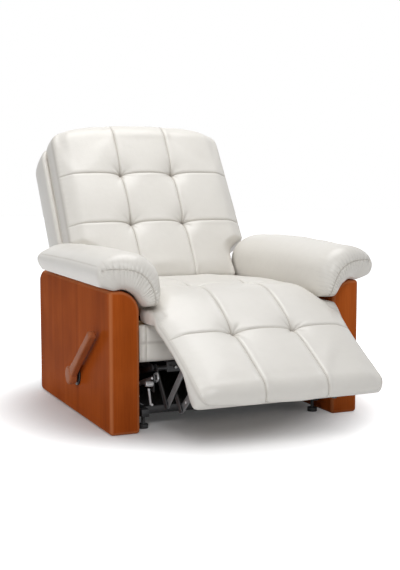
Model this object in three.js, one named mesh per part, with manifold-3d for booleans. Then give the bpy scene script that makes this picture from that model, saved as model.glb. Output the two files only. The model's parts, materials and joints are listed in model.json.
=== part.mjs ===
// A manual recliner seat with wooden side panels, a quilted chaise and back, and a steel footrest linkage.
// Millimetres. X runs across the seat, Y from the footrest (minus) to the back (plus), Z up from the floor.
// The hand lever is on the sitter's right, at minus X. The footrest is drawn about two thirds open.
import * as THREE from 'three';
import { mergeVertices } from 'three/addons/utils/BufferGeometryUtils.js';
import Module from 'manifold-3d';

const wasm = await Module();
wasm.setup();

// Fits
const clearance = 0.3;
const overrun = 5;
const weldTolerance = 1e-4;

// Side panels
const panelOuter = 450;
const panelThickness = 100;
const panelInner = panelOuter - panelThickness;
const panelHeight = 461;
const panelFront = -400;
const panelRear = 423;
const panelShoulderRadius = 72;
const panelRearTopRadius = 60;
const panelRearFootRadius = 25;
const panelFrontRadius = 14;

// Arm pads: the outline of the right-hand cross-section is given from the panel's outer and inner faces
const armOverhang = 45;
const armInnerReach = 62;
const armRise = 129;
const armDrape = 43;
const armFront = -455;
const armRear = 330;
const armEndRounding = 62;

// Seat rails and springs: the rails hang a fixed depth below the arm pads' inner edge
const railBelowArm = 73;
const railTop = panelHeight - armDrape - railBelowArm;
const railDepth = 45;
const railThickness = 25;
const frontRailDrop = 105;
const rearRailRear = 176;
const springWire = 3.6;
const springCount = 4;
const springPitch = 118;
const springSwing = 22;
const springWaves = 5;

// Seat, fold and chaise, all on one seam line that is seen from the side; rises are above the rails
const seatArmGap = 5;
const seatHalfWidth = panelInner - armInnerReach - seatArmGap;
const chaiseHalfWidth = 303;
const seatRear = 188;
const seatRearRise = 80;
const seatRearHeight = railTop + seatRearRise;
const seatTuftRow = -240;
const seatTuftRise = 92;
const seatTuftHeight = railTop + seatTuftRise;
const seatKnee = -385;
const seatKneeRise = 81;
const seatKneeHeight = railTop + seatKneeRise;
const seatFront = -428;
const seatCrown = 16;
const foldY = -502;
const foldRise = 41;
const foldZ = railTop + foldRise;
const chaiseTilt = 30;
const chaiseSeamDrop = 17.4;
const chaiseLength = 352;
const chaiseBoxing = 32;
const chaisePadStart = 64;
const chaiseTuftRow = 80;
const chaiseRollRadius = 40;
const chaiseTipHeight = 74;
const seatColumnHalf = 105;
const seatRounding = 12;
const bridgeRounding = 2;
const bridgeGap = 1;
const footrestRounding = 8;

// Apron under the seat front
const apronThickness = 30;
const apronSetback = 10;
const apronDrop = 119;
const apronFoot = railTop - apronDrop;
const apronCrown = 6;
const apronSideGap = 7;
const apronRounding = 5;

// Back, measured up its own tilted front face from the crease
const creaseY = 215;
const creaseZ = seatRearHeight;
const backTilt = 32.8;
const backLength = 680;
const backThickness = 135;
const backEarHalfWidth = 350;
const backTopHalfWidth = 342;
const backWaistHalfWidth = 283;
const backEarStart = 214;
const backEarBlend = 14;
const backTuftRows = [242, 461];
const backColumnHalf = 107;
const backCrown = 27;
const backCornerRadius = 58;
const backRounding = 16;
const backBoardThickness = 14;
const backBoardHalfWidth = 255;
const shellThickness = 54;
const shellLength = 655;
const shellDrop = 60;
const shellHalfWidth = 381;
const shellWaistHalfWidth = 338;
const shellEarStart = 200;
const shellCornerRadius = 66;
const shellCrown = 12;
const shellRounding = 18;

// Back hinge
const hingeY = 200;
const hingeDrop = 15;
const hingeZ = railTop - hingeDrop;
const hingePinRadius = 6;
const hingePlateThickness = 4;
const hingePlateRadius = 22;

// Steel linkage, seen from the side: the pivots of its two knee-shaped pairs are given from the fold
const linkThickness = 4.5;
const linkHalfWidth = 11.4;
const linkGap = 1.8;
const rivetRadius = 4;
const linkStackOuter = 289;
const fold = { y: foldY, z: foldZ };
const shoulderFromFold = { y: 130, z: -181 };
const kneeFromFold = { y: 40, z: -286 };
const liftPinFromFold = { y: -98, z: -141 };
const crossShare = 0.34;
const toeKneeFromFold = { y: -48, z: -283 };
const toePinFromFold = { y: -153, z: -192 };
const liftSlotFromFold = { y: -95.8, z: -135.7 };
const liftSlotTravel = 18.1;
const liftSlotDirection = { y: -0.502, z: -0.865 };
const toeSlotFromFold = { y: -139.4, z: -186.2 };
const toeSlotTravel = 29.7;
const toeSlotDirection = { y: -0.928, z: -0.371 };
const slotPlay = 1.8;
const shifted = (from, by) => ({ y: from.y + by.y, z: from.z + by.z });
const shoulderPivot = shifted(fold, shoulderFromFold);
const kneePivot = shifted(fold, kneeFromFold);
const liftPin = shifted(fold, liftPinFromFold);
const toeKnee = shifted(fold, toeKneeFromFold);
const toePin = shifted(fold, toePinFromFold);
const liftSlot = { ...shifted(fold, liftSlotFromFold), along: liftSlotDirection, travel: liftSlotTravel };
const toeSlot = { ...shifted(fold, toeSlotFromFold), along: toeSlotDirection, travel: toeSlotTravel };

// Hand lever, its shaft and the drive
const leverAxis = { y: -56, z: 139 };
const leverLength = 300;
const leverAngle = 36.6;
const leverStandoff = 9;
const leverThickness = 24;
const leverHubRadius = 27;
const leverNeckRadius = 12;
const leverTipRadius = 17;
const escutcheonRadius = 31;
const escutcheonThickness = 6;
const shaftRadius = 9;
const shaftBoreClearance = 2;
const crankRadius = 63.5;
const crankAngle = 257.8;
const rodHalfWidth = 8;
const rodPinReach = 36;
const rodSlotTravel = 12;
const rodSlotPlay = 4.6;
const rodSlotOffset = 3;

// Mechanism plates and base frame
const plateThickness = 4;
const plateRear = 150;
const baseFoot = 41;
const tubeSize = 25;
const frontFootY = -328;
const rearFootY = 300;
const frontTubeSetback = 30;
const frontTubeY = frontFootY + frontTubeSetback;
const baseRailWidth = 26;
const baseRailOverhang = 24;
const footRadius = 17;
const footStemRadius = 6;
const footPadHeight = 14;
const angleHeight = 34;
const angleThickness = 3;
const angleHalfWidth = 256;
const angleFlange = 26;
const boltRadius = 6;

// Footrest board and brackets, in the chaise's own tilted frame
const boardThickness = 12;
const boardHalfWidth = 257;
const boardStart = 84;
const boardEndInset = 90;
const bracketThickness = 3;
const bracketInnerX = 205;
const bracketStart = 122;
const bracketEnd = 256;
const earWall = 8;

// Finishes
const leather = { color: 0xe4e1da, roughness: 0.42, metalness: 0 };
const leatherShade = { color: 0xd3cfc7, roughness: 0.5, metalness: 0 };
const cherryWood = { color: 0x9a4420, roughness: 0.32, metalness: 0 };
const frameWood = { color: 0xc7a678, roughness: 0.75, metalness: 0 };
const blackSteel = { color: 0x17171a, roughness: 0.38, metalness: 0.85 };
const greySteel = { color: 0x55565a, roughness: 0.35, metalness: 0.9 };
const zinc = { color: 0xb9bcc0, roughness: 0.3, metalness: 1 };
const blackNylon = { color: 0x1b1b1c, roughness: 0.6, metalness: 0 };

// The sitter's right is minus X
const sides = [{ name: 'right', sign: -1 }, { name: 'left', sign: 1 }];
const degrees = Math.PI / 180;

const chair = new THREE.Group();

function addPart(name, geometry, finish) {
  const mesh = new THREE.Mesh(geometry, new THREE.MeshStandardMaterial(finish));
  mesh.name = name;
  chair.add(mesh);
}

// Solids
function asSolid(geometry) {
  const bare = geometry.index ? geometry.toNonIndexed() : geometry.clone();
  bare.deleteAttribute('normal');
  bare.deleteAttribute('uv');
  const merged = mergeVertices(bare, weldTolerance);
  const vertProperties = new Float32Array(merged.attributes.position.array);
  const triVerts = new Uint32Array(merged.index.array);
  return new wasm.Manifold(new wasm.Mesh({ numProp: 3, vertProperties, triVerts }));
}

function asGeometry(solid) {
  const { vertProperties, triVerts, numProp } = solid.getMesh();
  const positions = new Float32Array((vertProperties.length / numProp) * 3);
  for (let i = 0; i < positions.length / 3; i += 1) {
    positions.set(vertProperties.slice(i * numProp, i * numProp + 3), i * 3);
  }
  const geometry = new THREE.BufferGeometry();
  geometry.setAttribute('position', new THREE.BufferAttribute(positions, 3));
  geometry.setIndex(Array.from(triVerts));
  return geometry;
}

function join(first, ...others) {
  return asGeometry(others.reduce((solid, other) => solid.add(asSolid(other)), asSolid(first)));
}

function cut(first, ...tools) {
  return asGeometry(tools.reduce((solid, tool) => solid.subtract(asSolid(tool)), asSolid(first)));
}

function meet(first, second) {
  return asGeometry(asSolid(first).intersect(asSolid(second)));
}

// Boxes are given by their two extreme corners
function boxBetween(lowX, highX, lowY, highY, lowZ, highZ) {
  const box = new THREE.BoxGeometry(highX - lowX, highY - lowY, highZ - lowZ);
  box.translate((lowX + highX) / 2, (lowY + highY) / 2, (lowZ + highZ) / 2);
  return box;
}

// An outline drawn in the side view, (Y, Z), is given its thickness along X
function sidePlate(outline, lowX, highX, curveSegments = 5) {
  const low = Math.min(lowX, highX);
  const depth = Math.abs(highX - lowX);
  const plate = new THREE.ExtrudeGeometry(outline, { depth, bevelEnabled: false, curveSegments });
  const across = new THREE.Vector3(1, 0, 0);
  const back = new THREE.Vector3(0, 1, 0);
  const up = new THREE.Vector3(0, 0, 1);
  plate.applyMatrix4(new THREE.Matrix4().makeBasis(back, up, across));
  plate.translate(low, 0, 0);
  return plate;
}

// An outline drawn in the front view, (X, Z), is given its length along Y
function frontExtrusion(outline, lowY, highY, curveSegments = 8) {
  const depth = highY - lowY;
  const bar = new THREE.ExtrudeGeometry(outline, { depth, bevelEnabled: false, curveSegments });
  const across = new THREE.Vector3(1, 0, 0);
  const front = new THREE.Vector3(0, -1, 0);
  const up = new THREE.Vector3(0, 0, 1);
  bar.applyMatrix4(new THREE.Matrix4().makeBasis(across, up, front));
  bar.translate(0, highY, 0);
  return bar;
}

// A round pin that lies along X
function crossPin(pivot, radius, lowX, highX, sidesRound = 16) {
  const pin = new THREE.CylinderGeometry(radius, radius, Math.abs(highX - lowX), sidesRound);
  pin.rotateZ(Math.PI / 2);
  pin.translate((lowX + highX) / 2, pivot.y, pivot.z);
  return pin;
}

// An upright round post
function post(x, y, radius, lowZ, highZ, sidesRound = 16) {
  const cylinder = new THREE.CylinderGeometry(radius, radius, highZ - lowZ, sidesRound);
  cylinder.rotateX(Math.PI / 2);
  cylinder.translate(x, y, (lowZ + highZ) / 2);
  return cylinder;
}

// A rectangle with its own radius at each corner, listed from the low front corner, counterclockwise
function roundedRectangle(lowU, lowV, highU, highV, radii) {
  const [a, b, c, d] = radii;
  const outline = new THREE.Shape();
  outline.moveTo(lowU + a, lowV);
  outline.lineTo(highU - b, lowV);
  outline.absarc(highU - b, lowV + b, b, -Math.PI / 2, 0, false);
  outline.lineTo(highU, highV - c);
  outline.absarc(highU - c, highV - c, c, 0, Math.PI / 2, false);
  outline.lineTo(lowU + d, highV);
  outline.absarc(lowU + d, highV - d, d, Math.PI / 2, Math.PI, false);
  outline.lineTo(lowU, lowV + a);
  outline.absarc(lowU + a, lowV + a, a, Math.PI, Math.PI * 1.5, false);
  return outline;
}

// A bar with two round ends, seen from the side
function linkOutline(from, to, halfWidth) {
  const angle = Math.atan2(to.z - from.z, to.y - from.y);
  const outline = new THREE.Shape();
  outline.absarc(to.y, to.z, halfWidth, angle - Math.PI / 2, angle + Math.PI / 2, false);
  outline.absarc(from.y, from.z, halfWidth, angle + Math.PI / 2, angle + Math.PI * 1.5, false);
  outline.closePath();
  return outline;
}

function slotOutline(slot, halfWidth) {
  const reach = slot.travel / 2;
  const from = { y: slot.y - slot.along.y * reach, z: slot.z - slot.along.z * reach };
  const to = { y: slot.y + slot.along.y * reach, z: slot.z + slot.along.z * reach };
  return linkOutline(from, to, halfWidth);
}

// Closed skins

// Rings of equal count are joined in order and closed at both ends by fans; faces are turned outwards
function loft(rings) {
  const count = rings[0].length;
  const points = rings.flat();
  const faces = [];
  for (let r = 0; r < rings.length - 1; r += 1) {
    for (let i = 0; i < count; i += 1) {
      const next = (i + 1) % count;
      const a = r * count + i;
      const b = r * count + next;
      faces.push([a, b, b + count], [a, b + count, a + count]);
    }
  }
  for (const [r, turned] of [[0, true], [rings.length - 1, false]]) {
    const middle = rings[r].reduce((sum, point) => sum.add(point), new THREE.Vector3());
    points.push(middle.divideScalar(count));
    for (let i = 0; i < count; i += 1) {
      const a = r * count + i;
      const b = r * count + (i + 1) % count;
      faces.push(turned ? [b, a, points.length - 1] : [a, b, points.length - 1]);
    }
  }
  const volume = faces.reduce((sum, [a, b, c]) => (
    sum + points[a].dot(new THREE.Vector3().crossVectors(points[b], points[c]))
  ), 0);
  const outward = volume > 0 ? faces : faces.map(([a, b, c]) => [a, c, b]);
  const geometry = new THREE.BufferGeometry().setFromPoints(points);
  geometry.setIndex(outward.flat());
  return geometry;
}

// Shares of one quilted cell at which its pillow is sampled, and the pillow's height there
const cellShares = [0, 0.1, 0.32, 0.68, 0.9];
const pillow = (share) => 1 - (2 * share - 1) ** 4;

function cellSamples(bounds) {
  const samples = [];
  for (let i = 0; i < bounds.length - 1; i += 1) {
    for (const share of cellShares) {
      samples.push({ at: THREE.MathUtils.lerp(bounds[i], bounds[i + 1], share), rise: pillow(share) });
    }
  }
  samples.push({ at: bounds.at(-1), rise: 0 });
  return samples;
}

// A quilted pad along a spine: sewn channels lie at its seam level and the cells between them are crowned
function quiltedPad({ spine, rows, columnHalf, crown, rounding }) {
  const rings = [];
  const ring = (at, rise, inset) => {
    const { y, z, normalY, normalZ, halfWidth, thickness } = spine(at);
    const wide = halfWidth - inset;
    const bounds = columnHalf ? [-wide, -columnHalf, columnHalf, wide] : [-wide, wide];
    const bottomShares = [0.6, 0, -0.6];
    const depthOf = (height) => new THREE.Vector3(0, normalY * height, normalZ * height);
    const place = (x, height) => new THREE.Vector3(x, y, z).add(depthOf(height));
    const top = cellSamples(bounds).map((sample) => (
      place(sample.at, crown * sample.rise * rise - inset * 0.6)
    ));
    const floor = inset * 0.6 - thickness;
    const belly = Math.min(rounding / 3, thickness / 8);
    return [
      ...top,
      place(wide + belly, floor / 2),
      place(wide - belly, floor),
      ...bottomShares.map((share) => place(wide * share, floor)),
      place(belly - wide, floor),
      place(-wide - belly, floor / 2),
    ];
  };
  const samples = cellSamples(rows);
  const ends = [samples[0].at, samples.at(-1).at];
  const direction = Math.sign(ends[1] - ends[0]);
  rings.push(ring(ends[0], 0, rounding));
  rings.push(ring(ends[0] + direction * rounding * 0.4, 0.1, rounding * 0.25));
  for (const sample of samples.slice(1, -1)) {
    rings.push(ring(sample.at, sample.rise, 0));
  }
  rings.push(ring(ends[1] - direction * rounding * 0.4, 0.1, rounding * 0.25));
  rings.push(ring(ends[1], 0, rounding));
  return loft(rings);
}

// Side panels: the side outline and the front outline, with its round inner shoulder, meet in one board
function sidePanel(sign) {
  const fromSide = roundedRectangle(
    panelFront, 0, panelRear, panelHeight,
    [panelFrontRadius, panelRearFootRadius, panelRearTopRadius, panelFrontRadius],
  );
  const small = panelFrontRadius;
  const inner = panelShoulderRadius;
  const radii = sign > 0 ? [small, small, small, inner] : [small, small, inner, small];
  const lowX = sign > 0 ? panelInner : -panelOuter;
  const fromFront = roundedRectangle(lowX, 0, lowX + panelThickness, panelHeight, radii);
  const board = meet(
    sidePlate(fromSide, lowX - overrun, lowX + panelThickness + overrun),
    frontExtrusion(fromFront, panelFront - overrun, panelRear + overrun, 12),
  );
  if (sign > 0) return board;
  return cut(board, crossPin(
    leverAxis, shaftRadius + shaftBoreClearance, -panelOuter - overrun, -panelInner + overrun,
  ));
}

for (const { name, sign } of sides) {
  addPart(`side_panel_${name}`, sidePanel(sign), cherryWood);
}

// Arm pads: a plump section that rests on the panel's top and hangs over its round shoulder
function armSection() {
  const seat = panelHeight + clearance;
  const shoulderX = panelInner + panelShoulderRadius;
  const shoulderZ = panelHeight - panelShoulderRadius;
  const lapTurns = [8.5, 25.5, 42.5, 59.5];
  const reach = (panelShoulderRadius + clearance) / Math.cos(lapTurns[0] * degrees);
  const lap = lapTurns.map((turn) => [
    shoulderX - reach * Math.sin(turn * degrees),
    shoulderZ + reach * Math.cos(turn * degrees),
  ]);
  const wide = panelOuter + armOverhang;
  const near = panelInner - armInnerReach;
  const high = panelHeight + armRise;
  const low = panelHeight - armDrape;
  const span = wide - near;
  const rise = high - low;
  const at = (acrossShare, upShare) => [near + span * acrossShare, low + rise * upShare];
  const outer = [
    at(0.06, 0), at(0.005, 0.12), at(0, 0.34), at(0.03, 0.58), at(0.12, 0.78), at(0.28, 0.93),
    at(0.48, 1), at(0.68, 0.98), at(0.85, 0.87), at(0.95, 0.72), at(1, 0.6), at(0.985, 0.45),
    at(0.93, 0.33),
  ];
  return [...outer, [panelOuter - armOverhang / 4, seat], ...lap, at(0.26, -0.01)];
}

const straightShares = [0, 0.25, 0.5, 0.75, 1];
const endPullShare = 0.62;
function armPad(sign) {
  const section = armSection();
  const middleX = (panelInner - armInnerReach + panelOuter + armOverhang) / 2;
  const middleZ = panelHeight + armRise / 2;
  const endTurns = [76, 55, 30, 4];
  const ends = endTurns.map((turn) => ({
    inset: armEndRounding * (1 - Math.sin(turn * degrees)),
    drawIn: 1 - Math.cos(turn * degrees),
  }));
  const front = armFront + armEndRounding;
  const rear = armRear - armEndRounding;
  const stations = [
    ...ends.map(({ inset, drawIn }) => [armFront + inset, drawIn]),
    ...straightShares.map((share) => [THREE.MathUtils.lerp(front, rear, share), 0]),
    ...ends.toReversed().map(({ inset, drawIn }) => [armRear - inset, drawIn]),
  ];
  const rings = stations.map(([y, drawIn]) => section.map(([x, z]) => {
    const pull = drawIn * endPullShare;
    const lifted = Math.max(THREE.MathUtils.lerp(z, middleZ, pull), z);
    const upper = z > middleZ ? THREE.MathUtils.lerp(z, middleZ, pull) : lifted;
    return new THREE.Vector3(sign * THREE.MathUtils.lerp(x, middleX, pull), y, upper);
  }));
  return loft(rings);
}

for (const { name, sign } of sides) {
  addPart(`arm_pad_${name}`, armPad(sign), leather);
}

// Seat rails: a wooden box frame between the panels
const railFoot = railTop - railDepth;
const railEnd = panelInner - clearance;
const apronFront = panelFront + apronSetback;
const frontRailFront = apronFront + apronThickness + clearance;
const frontRailRear = frontRailFront + railThickness;
const rearRailFront = rearRailRear - railThickness;
const sideRailInner = railEnd - railDepth;
const hingePlateOuter = sideRailInner - clearance;
const hingePlateInner = hingePlateOuter - hingePlateThickness;
const rearRailEnd = hingePlateInner - clearance;

addPart('front_rail', boxBetween(
  -railEnd, railEnd, frontRailFront, frontRailRear, railTop - frontRailDrop, railTop,
), frameWood);
addPart('rear_rail', boxBetween(
  -rearRailEnd, rearRailEnd, rearRailFront, rearRailRear, railFoot, railTop,
), frameWood);
for (const { name, sign } of sides) {
  const faces = [sign * sideRailInner, sign * railEnd].sort((a, b) => a - b);
  addPart(`side_rail_${name}`, boxBetween(
    ...faces, frontRailRear + clearance, rearRailRear, railFoot, railTop,
  ), frameWood);
}

// Sinuous seat springs, laid on the front and rear rails
const springHeight = railTop + clearance + springWire / 2;
function seatSpring(middleX) {
  const from = frontRailFront + railThickness / 2;
  const to = rearRailRear - railThickness / 2;
  const stepsPerWave = 8;
  const points = [];
  for (let i = 0; i <= springWaves * stepsPerWave; i += 1) {
    const share = i / (springWaves * stepsPerWave);
    const swing = springSwing * Math.sin(share * springWaves * Math.PI * 2);
    points.push(new THREE.Vector3(middleX + swing, THREE.MathUtils.lerp(from, to, share), springHeight));
  }
  const wire = new THREE.Shape();
  wire.absarc(0, 0, springWire / 2, 0, Math.PI * 2, false);
  return new THREE.ExtrudeGeometry(wire, {
    steps: springWaves * stepsPerWave,
    curveSegments: 3,
    bevelEnabled: false,
    extrudePath: new THREE.CatmullRomCurve3(points),
  });
}

for (let i = 0; i < springCount; i += 1) {
  const middleX = (i - (springCount - 1) / 2) * springPitch;
  addPart(`seat_spring_${i + 1}`, seatSpring(middleX), greySteel);
}

// The chaise's own frame: along runs down the tilted pad from the fold, out stands square to it
const tilt = chaiseTilt * degrees;
function onChaise(along, out) {
  return {
    y: foldY - along * Math.cos(tilt) - out * Math.sin(tilt),
    z: foldZ - along * Math.sin(tilt) + out * Math.cos(tilt),
  };
}

// One seam line carries the seat, the fold and the chaise
const seamPoints = [
  [seatRear, seatRearHeight],
  [(seatRear + seatTuftRow) / 2, (seatRearHeight + seatTuftHeight) / 2 + seatCrown / 8],
  [seatTuftRow, seatTuftHeight],
  [seatKnee, seatKneeHeight],
];
for (const share of [0.06, 0.24, 0.5, 0.76, 1]) {
  const { y, z } = onChaise(chaiseLength * share, -chaiseSeamDrop);
  seamPoints.push([y, z]);
}
const seamLine = new THREE.SplineCurve(seamPoints.map(([y, z]) => new THREE.Vector2(y, z)));
seamLine.arcLengthDivisions = 400;
const seamLength = seamLine.getLength();

// Where the seam line passes a given Y, as a length from the seat's rear
function lengthAtY(y) {
  let low = 0;
  let high = 1;
  for (let i = 0; i < 30; i += 1) {
    const middle = (low + high) / 2;
    if (seamLine.getPointAt(middle).x > y) low = middle;
    else high = middle;
  }
  return low * seamLength;
}

const seatFloor = springHeight + springWire / 2 + clearance;
function seatSpine(at) {
  const share = THREE.MathUtils.clamp(at / seamLength, 0, 1);
  const point = seamLine.getPointAt(share);
  const tangent = seamLine.getTangentAt(share);
  const widening = THREE.MathUtils.smoothstep(-point.x, -seatKnee, -foldY);
  return {
    y: point.x,
    z: point.y,
    normalY: tangent.y,
    normalZ: -tangent.x,
    halfWidth: THREE.MathUtils.lerp(seatHalfWidth, chaiseHalfWidth, widening),
  };
}

// On the seat the pad's floor stays level, on the springs
function levelSpine(at) {
  const station = seatSpine(at);
  return { ...station, normalY: 0, normalZ: 1, thickness: station.z - seatFloor };
}

const padSpine = (at) => ({ ...seatSpine(at), thickness: chaiseBoxing });

const seatFrontLength = lengthAtY(seatFront);
const padStartLength = lengthAtY(onChaise(chaisePadStart, -chaiseSeamDrop).y);
const chaiseTuftLength = lengthAtY(onChaise(chaiseTuftRow, -chaiseSeamDrop).y);
const seatTuftLength = lengthAtY(seatTuftRow);

// The fold's sections turn from upright at the seat to square at the chaise
function bridgeSpine(at) {
  const station = padSpine(at);
  const turn = THREE.MathUtils.smoothstep(at, seatFrontLength, padStartLength);
  const upright = THREE.MathUtils.lerp(1, station.normalZ, turn);
  const normal = new THREE.Vector2(station.normalY * turn, upright);
  normal.normalize();
  return { ...station, normalY: normal.x, normalZ: normal.y };
}

addPart('seat_cushion', quiltedPad({
  spine: levelSpine,
  rows: [0, seatTuftLength, seatFrontLength],
  columnHalf: seatColumnHalf,
  crown: seatCrown,
  rounding: seatRounding,
}), leather);

addPart('chaise_bridge', quiltedPad({
  spine: bridgeSpine,
  rows: [seatFrontLength + bridgeGap, padStartLength - bridgeGap],
  columnHalf: seatColumnHalf,
  crown: seatCrown / 2,
  rounding: bridgeRounding,
}), leather);

// The footrest pad ends in a roll, where the quilted top turns down
function tipSpine(at) {
  const station = padSpine(at);
  const left = seamLength - at;
  if (left >= chaiseRollRadius) return station;
  const reach = 1 - left / chaiseRollRadius;
  const drop = chaiseRollRadius * (1 - Math.sqrt(1 - reach * reach * 0.9));
  const swell = (chaiseTipHeight - chaiseBoxing) * reach ** 0.5 * (1 - reach * 0.6);
  return {
    ...station,
    y: station.y - station.normalY * drop,
    z: station.z - station.normalZ * drop,
    thickness: chaiseBoxing + swell - drop,
  };
}

addPart('footrest_pad', quiltedPad({
  spine: tipSpine,
  rows: [padStartLength, chaiseTuftLength, seamLength],
  columnHalf: seatColumnHalf,
  crown: seatCrown,
  rounding: footrestRounding,
}), leather);

// Apron: a padded leather panel in front of the front rail
function apronSpine(at) {
  return {
    y: apronFront,
    z: at,
    normalY: -1,
    normalZ: 0,
    halfWidth: panelInner - apronSideGap,
    thickness: apronThickness,
  };
}

addPart('front_apron', quiltedPad({
  spine: apronSpine,
  rows: [apronFoot, seatFloor - clearance],
  columnHalf: 0,
  crown: apronCrown,
  rounding: apronRounding,
}), leatherShade);

// Back: stations run up the tilted face from the crease, and out stands forward of it
const lean = backTilt * degrees;
function onBack(up, out) {
  return {
    y: creaseY + up * Math.sin(lean) - out * Math.cos(lean),
    z: creaseZ + up * Math.cos(lean) + out * Math.sin(lean),
  };
}

function cornered(halfWidth, at, length, radius) {
  const into = at - (length - radius);
  if (into <= 0) return halfWidth;
  return halfWidth - radius + Math.sqrt(Math.max(radius * radius - into * into, 0));
}

function backSpine(at) {
  const { y, z } = onBack(at, 0);
  const flare = THREE.MathUtils.smoothstep(at, backEarStart - backEarBlend, backEarStart);
  const { mapLinear } = THREE.MathUtils;
  const ears = mapLinear(at, backEarStart, backLength, backEarHalfWidth, backTopHalfWidth);
  const wide = THREE.MathUtils.lerp(backWaistHalfWidth, ears, flare);
  return {
    y,
    z,
    normalY: -Math.cos(lean),
    normalZ: Math.sin(lean),
    halfWidth: cornered(wide, at, backLength, backCornerRadius),
    thickness: backThickness,
  };
}

addPart('back_cushion', quiltedPad({
  spine: backSpine,
  rows: [0, backEarStart - backEarBlend, ...backTuftRows, backLength],
  columnHalf: backColumnHalf,
  crown: backCrown,
  rounding: backRounding,
}), leather);

const boardOut = -backThickness - clearance;
function backBoard() {
  const outline = new THREE.Shape();
  const foot = -shellDrop / 2;
  const head = shellLength - shellCornerRadius / 2;
  const corners = [
    onBack(foot, boardOut),
    onBack(foot, boardOut - backBoardThickness),
    onBack(head, boardOut - backBoardThickness),
    onBack(head, boardOut),
  ];
  outline.setFromPoints(corners.map(({ y, z }) => new THREE.Vector2(y, z)));
  return sidePlate(outline, -backBoardHalfWidth, backBoardHalfWidth);
}

addPart('back_board', backBoard(), frameWood);

// The padded rear shell is crowned towards the rear
function shellSpine(at) {
  const out = boardOut - backBoardThickness - clearance - shellThickness;
  const { y, z } = onBack(at, out);
  const flare = THREE.MathUtils.smoothstep(at, shellEarStart - backEarBlend, shellEarStart);
  const wide = THREE.MathUtils.lerp(shellWaistHalfWidth, shellHalfWidth, flare);
  return {
    y,
    z,
    normalY: Math.cos(lean),
    normalZ: -Math.sin(lean),
    halfWidth: cornered(wide, at, shellLength, shellCornerRadius),
    thickness: shellThickness,
  };
}

addPart('back_shell', quiltedPad({
  spine: shellSpine,
  rows: [-shellDrop, shellEarStart - backEarBlend, shellEarStart, shellLength],
  columnHalf: 0,
  crown: shellCrown,
  rounding: shellRounding,
}), leather);

// Back brackets swing on pins held by hinge plates that are fixed to the side rails
const hinge = { y: hingeY, z: hingeZ };
const bracketOuter = hingePlateInner - linkGap;
const bracketInner = bracketOuter - hingePlateThickness;

function backBracket(sign) {
  const low = onBack(shellDrop / 2, boardOut - backBoardThickness / 2);
  const high = onBack(backEarStart * 0.7, boardOut - backBoardThickness / 2);
  const thin = backBoardThickness / 2 - clearance;
  const inner = sign * bracketInner;
  const outer = sign * bracketOuter;
  const eye = crossPin(hinge, hingePlateRadius * 0.8, inner, outer);
  const arm = sidePlate(linkOutline(hinge, low, thin), inner, outer);
  const beside = sign * (backBoardHalfWidth + clearance);
  const foot = sidePlate(linkOutline(low, high, thin), beside, outer);
  const boreFrom = sign * (bracketInner - overrun);
  const boreTo = sign * (bracketOuter + overrun);
  const bored = crossPin(hinge, hingePinRadius + clearance, boreFrom, boreTo);
  return cut(join(eye, arm, foot), bored);
}

function hingePlate(sign) {
  const rail = { y: hingeY - hingePlateRadius * 3, z: railTop - railDepth / 2 };
  const inner = sign * hingePlateInner;
  const outer = sign * hingePlateOuter;
  const plate = sidePlate(linkOutline(rail, hinge, hingePlateRadius * 0.9), inner, outer);
  const pin = crossPin(hinge, hingePinRadius, sign * (bracketInner - linkGap), outer);
  return join(plate, pin);
}

for (const { name, sign } of sides) {
  addPart(`back_bracket_${name}`, backBracket(sign), blackSteel);
  addPart(`back_hinge_plate_${name}`, hingePlate(sign), blackSteel);
}

// Link stack: each bar has its own plane across the seat, counted inwards from the drive rod's
const planeStep = linkThickness + linkGap;
function linkPlane(index, sign) {
  const outer = linkStackOuter - index * planeStep;
  return { near: sign * outer, far: sign * (outer - linkThickness) };
}

const rodPlane = -1;
const shoulderPlane = 0;
const liftPlane = 1;
const crossPlane = 2;
const toePlane = 3;
const innerEarPlane = 4;

function bar(from, to, index, sign, halfWidth = linkHalfWidth) {
  const { near, far } = linkPlane(index, sign);
  return sidePlate(linkOutline(from, to, halfWidth), near, far);
}

// A rivet is part of the bar that carries it and passes through the next bar's bore
function rivet(pivot, fromIndex, toIndex, sign, radius = rivetRadius) {
  const from = linkPlane(fromIndex, sign);
  const to = linkPlane(toIndex, sign);
  const inward = toIndex > fromIndex;
  const start = inward ? from.near : from.far;
  const end = inward ? to.far - sign * clearance * 3 : to.near + sign * clearance * 3;
  return crossPin(pivot, radius, start, end);
}

function bore(pivot, sign, radius = rivetRadius + clearance) {
  const outermost = linkPlane(rodPlane, sign).near + sign * overrun;
  const innermost = linkPlane(innerEarPlane, sign).far - sign * overrun;
  return crossPin(pivot, radius, innermost, outermost);
}

const between = (from, to, share) => ({
  y: THREE.MathUtils.lerp(from.y, to.y, share),
  z: THREE.MathUtils.lerp(from.z, to.z, share),
});
const crossPivot = between(kneePivot, liftPin, crossShare);
const shoulderSpan = Math.hypot(kneePivot.y - shoulderPivot.y, kneePivot.z - shoulderPivot.z);
const rodPin = between(shoulderPivot, kneePivot, rodPinReach / shoulderSpan);

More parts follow.
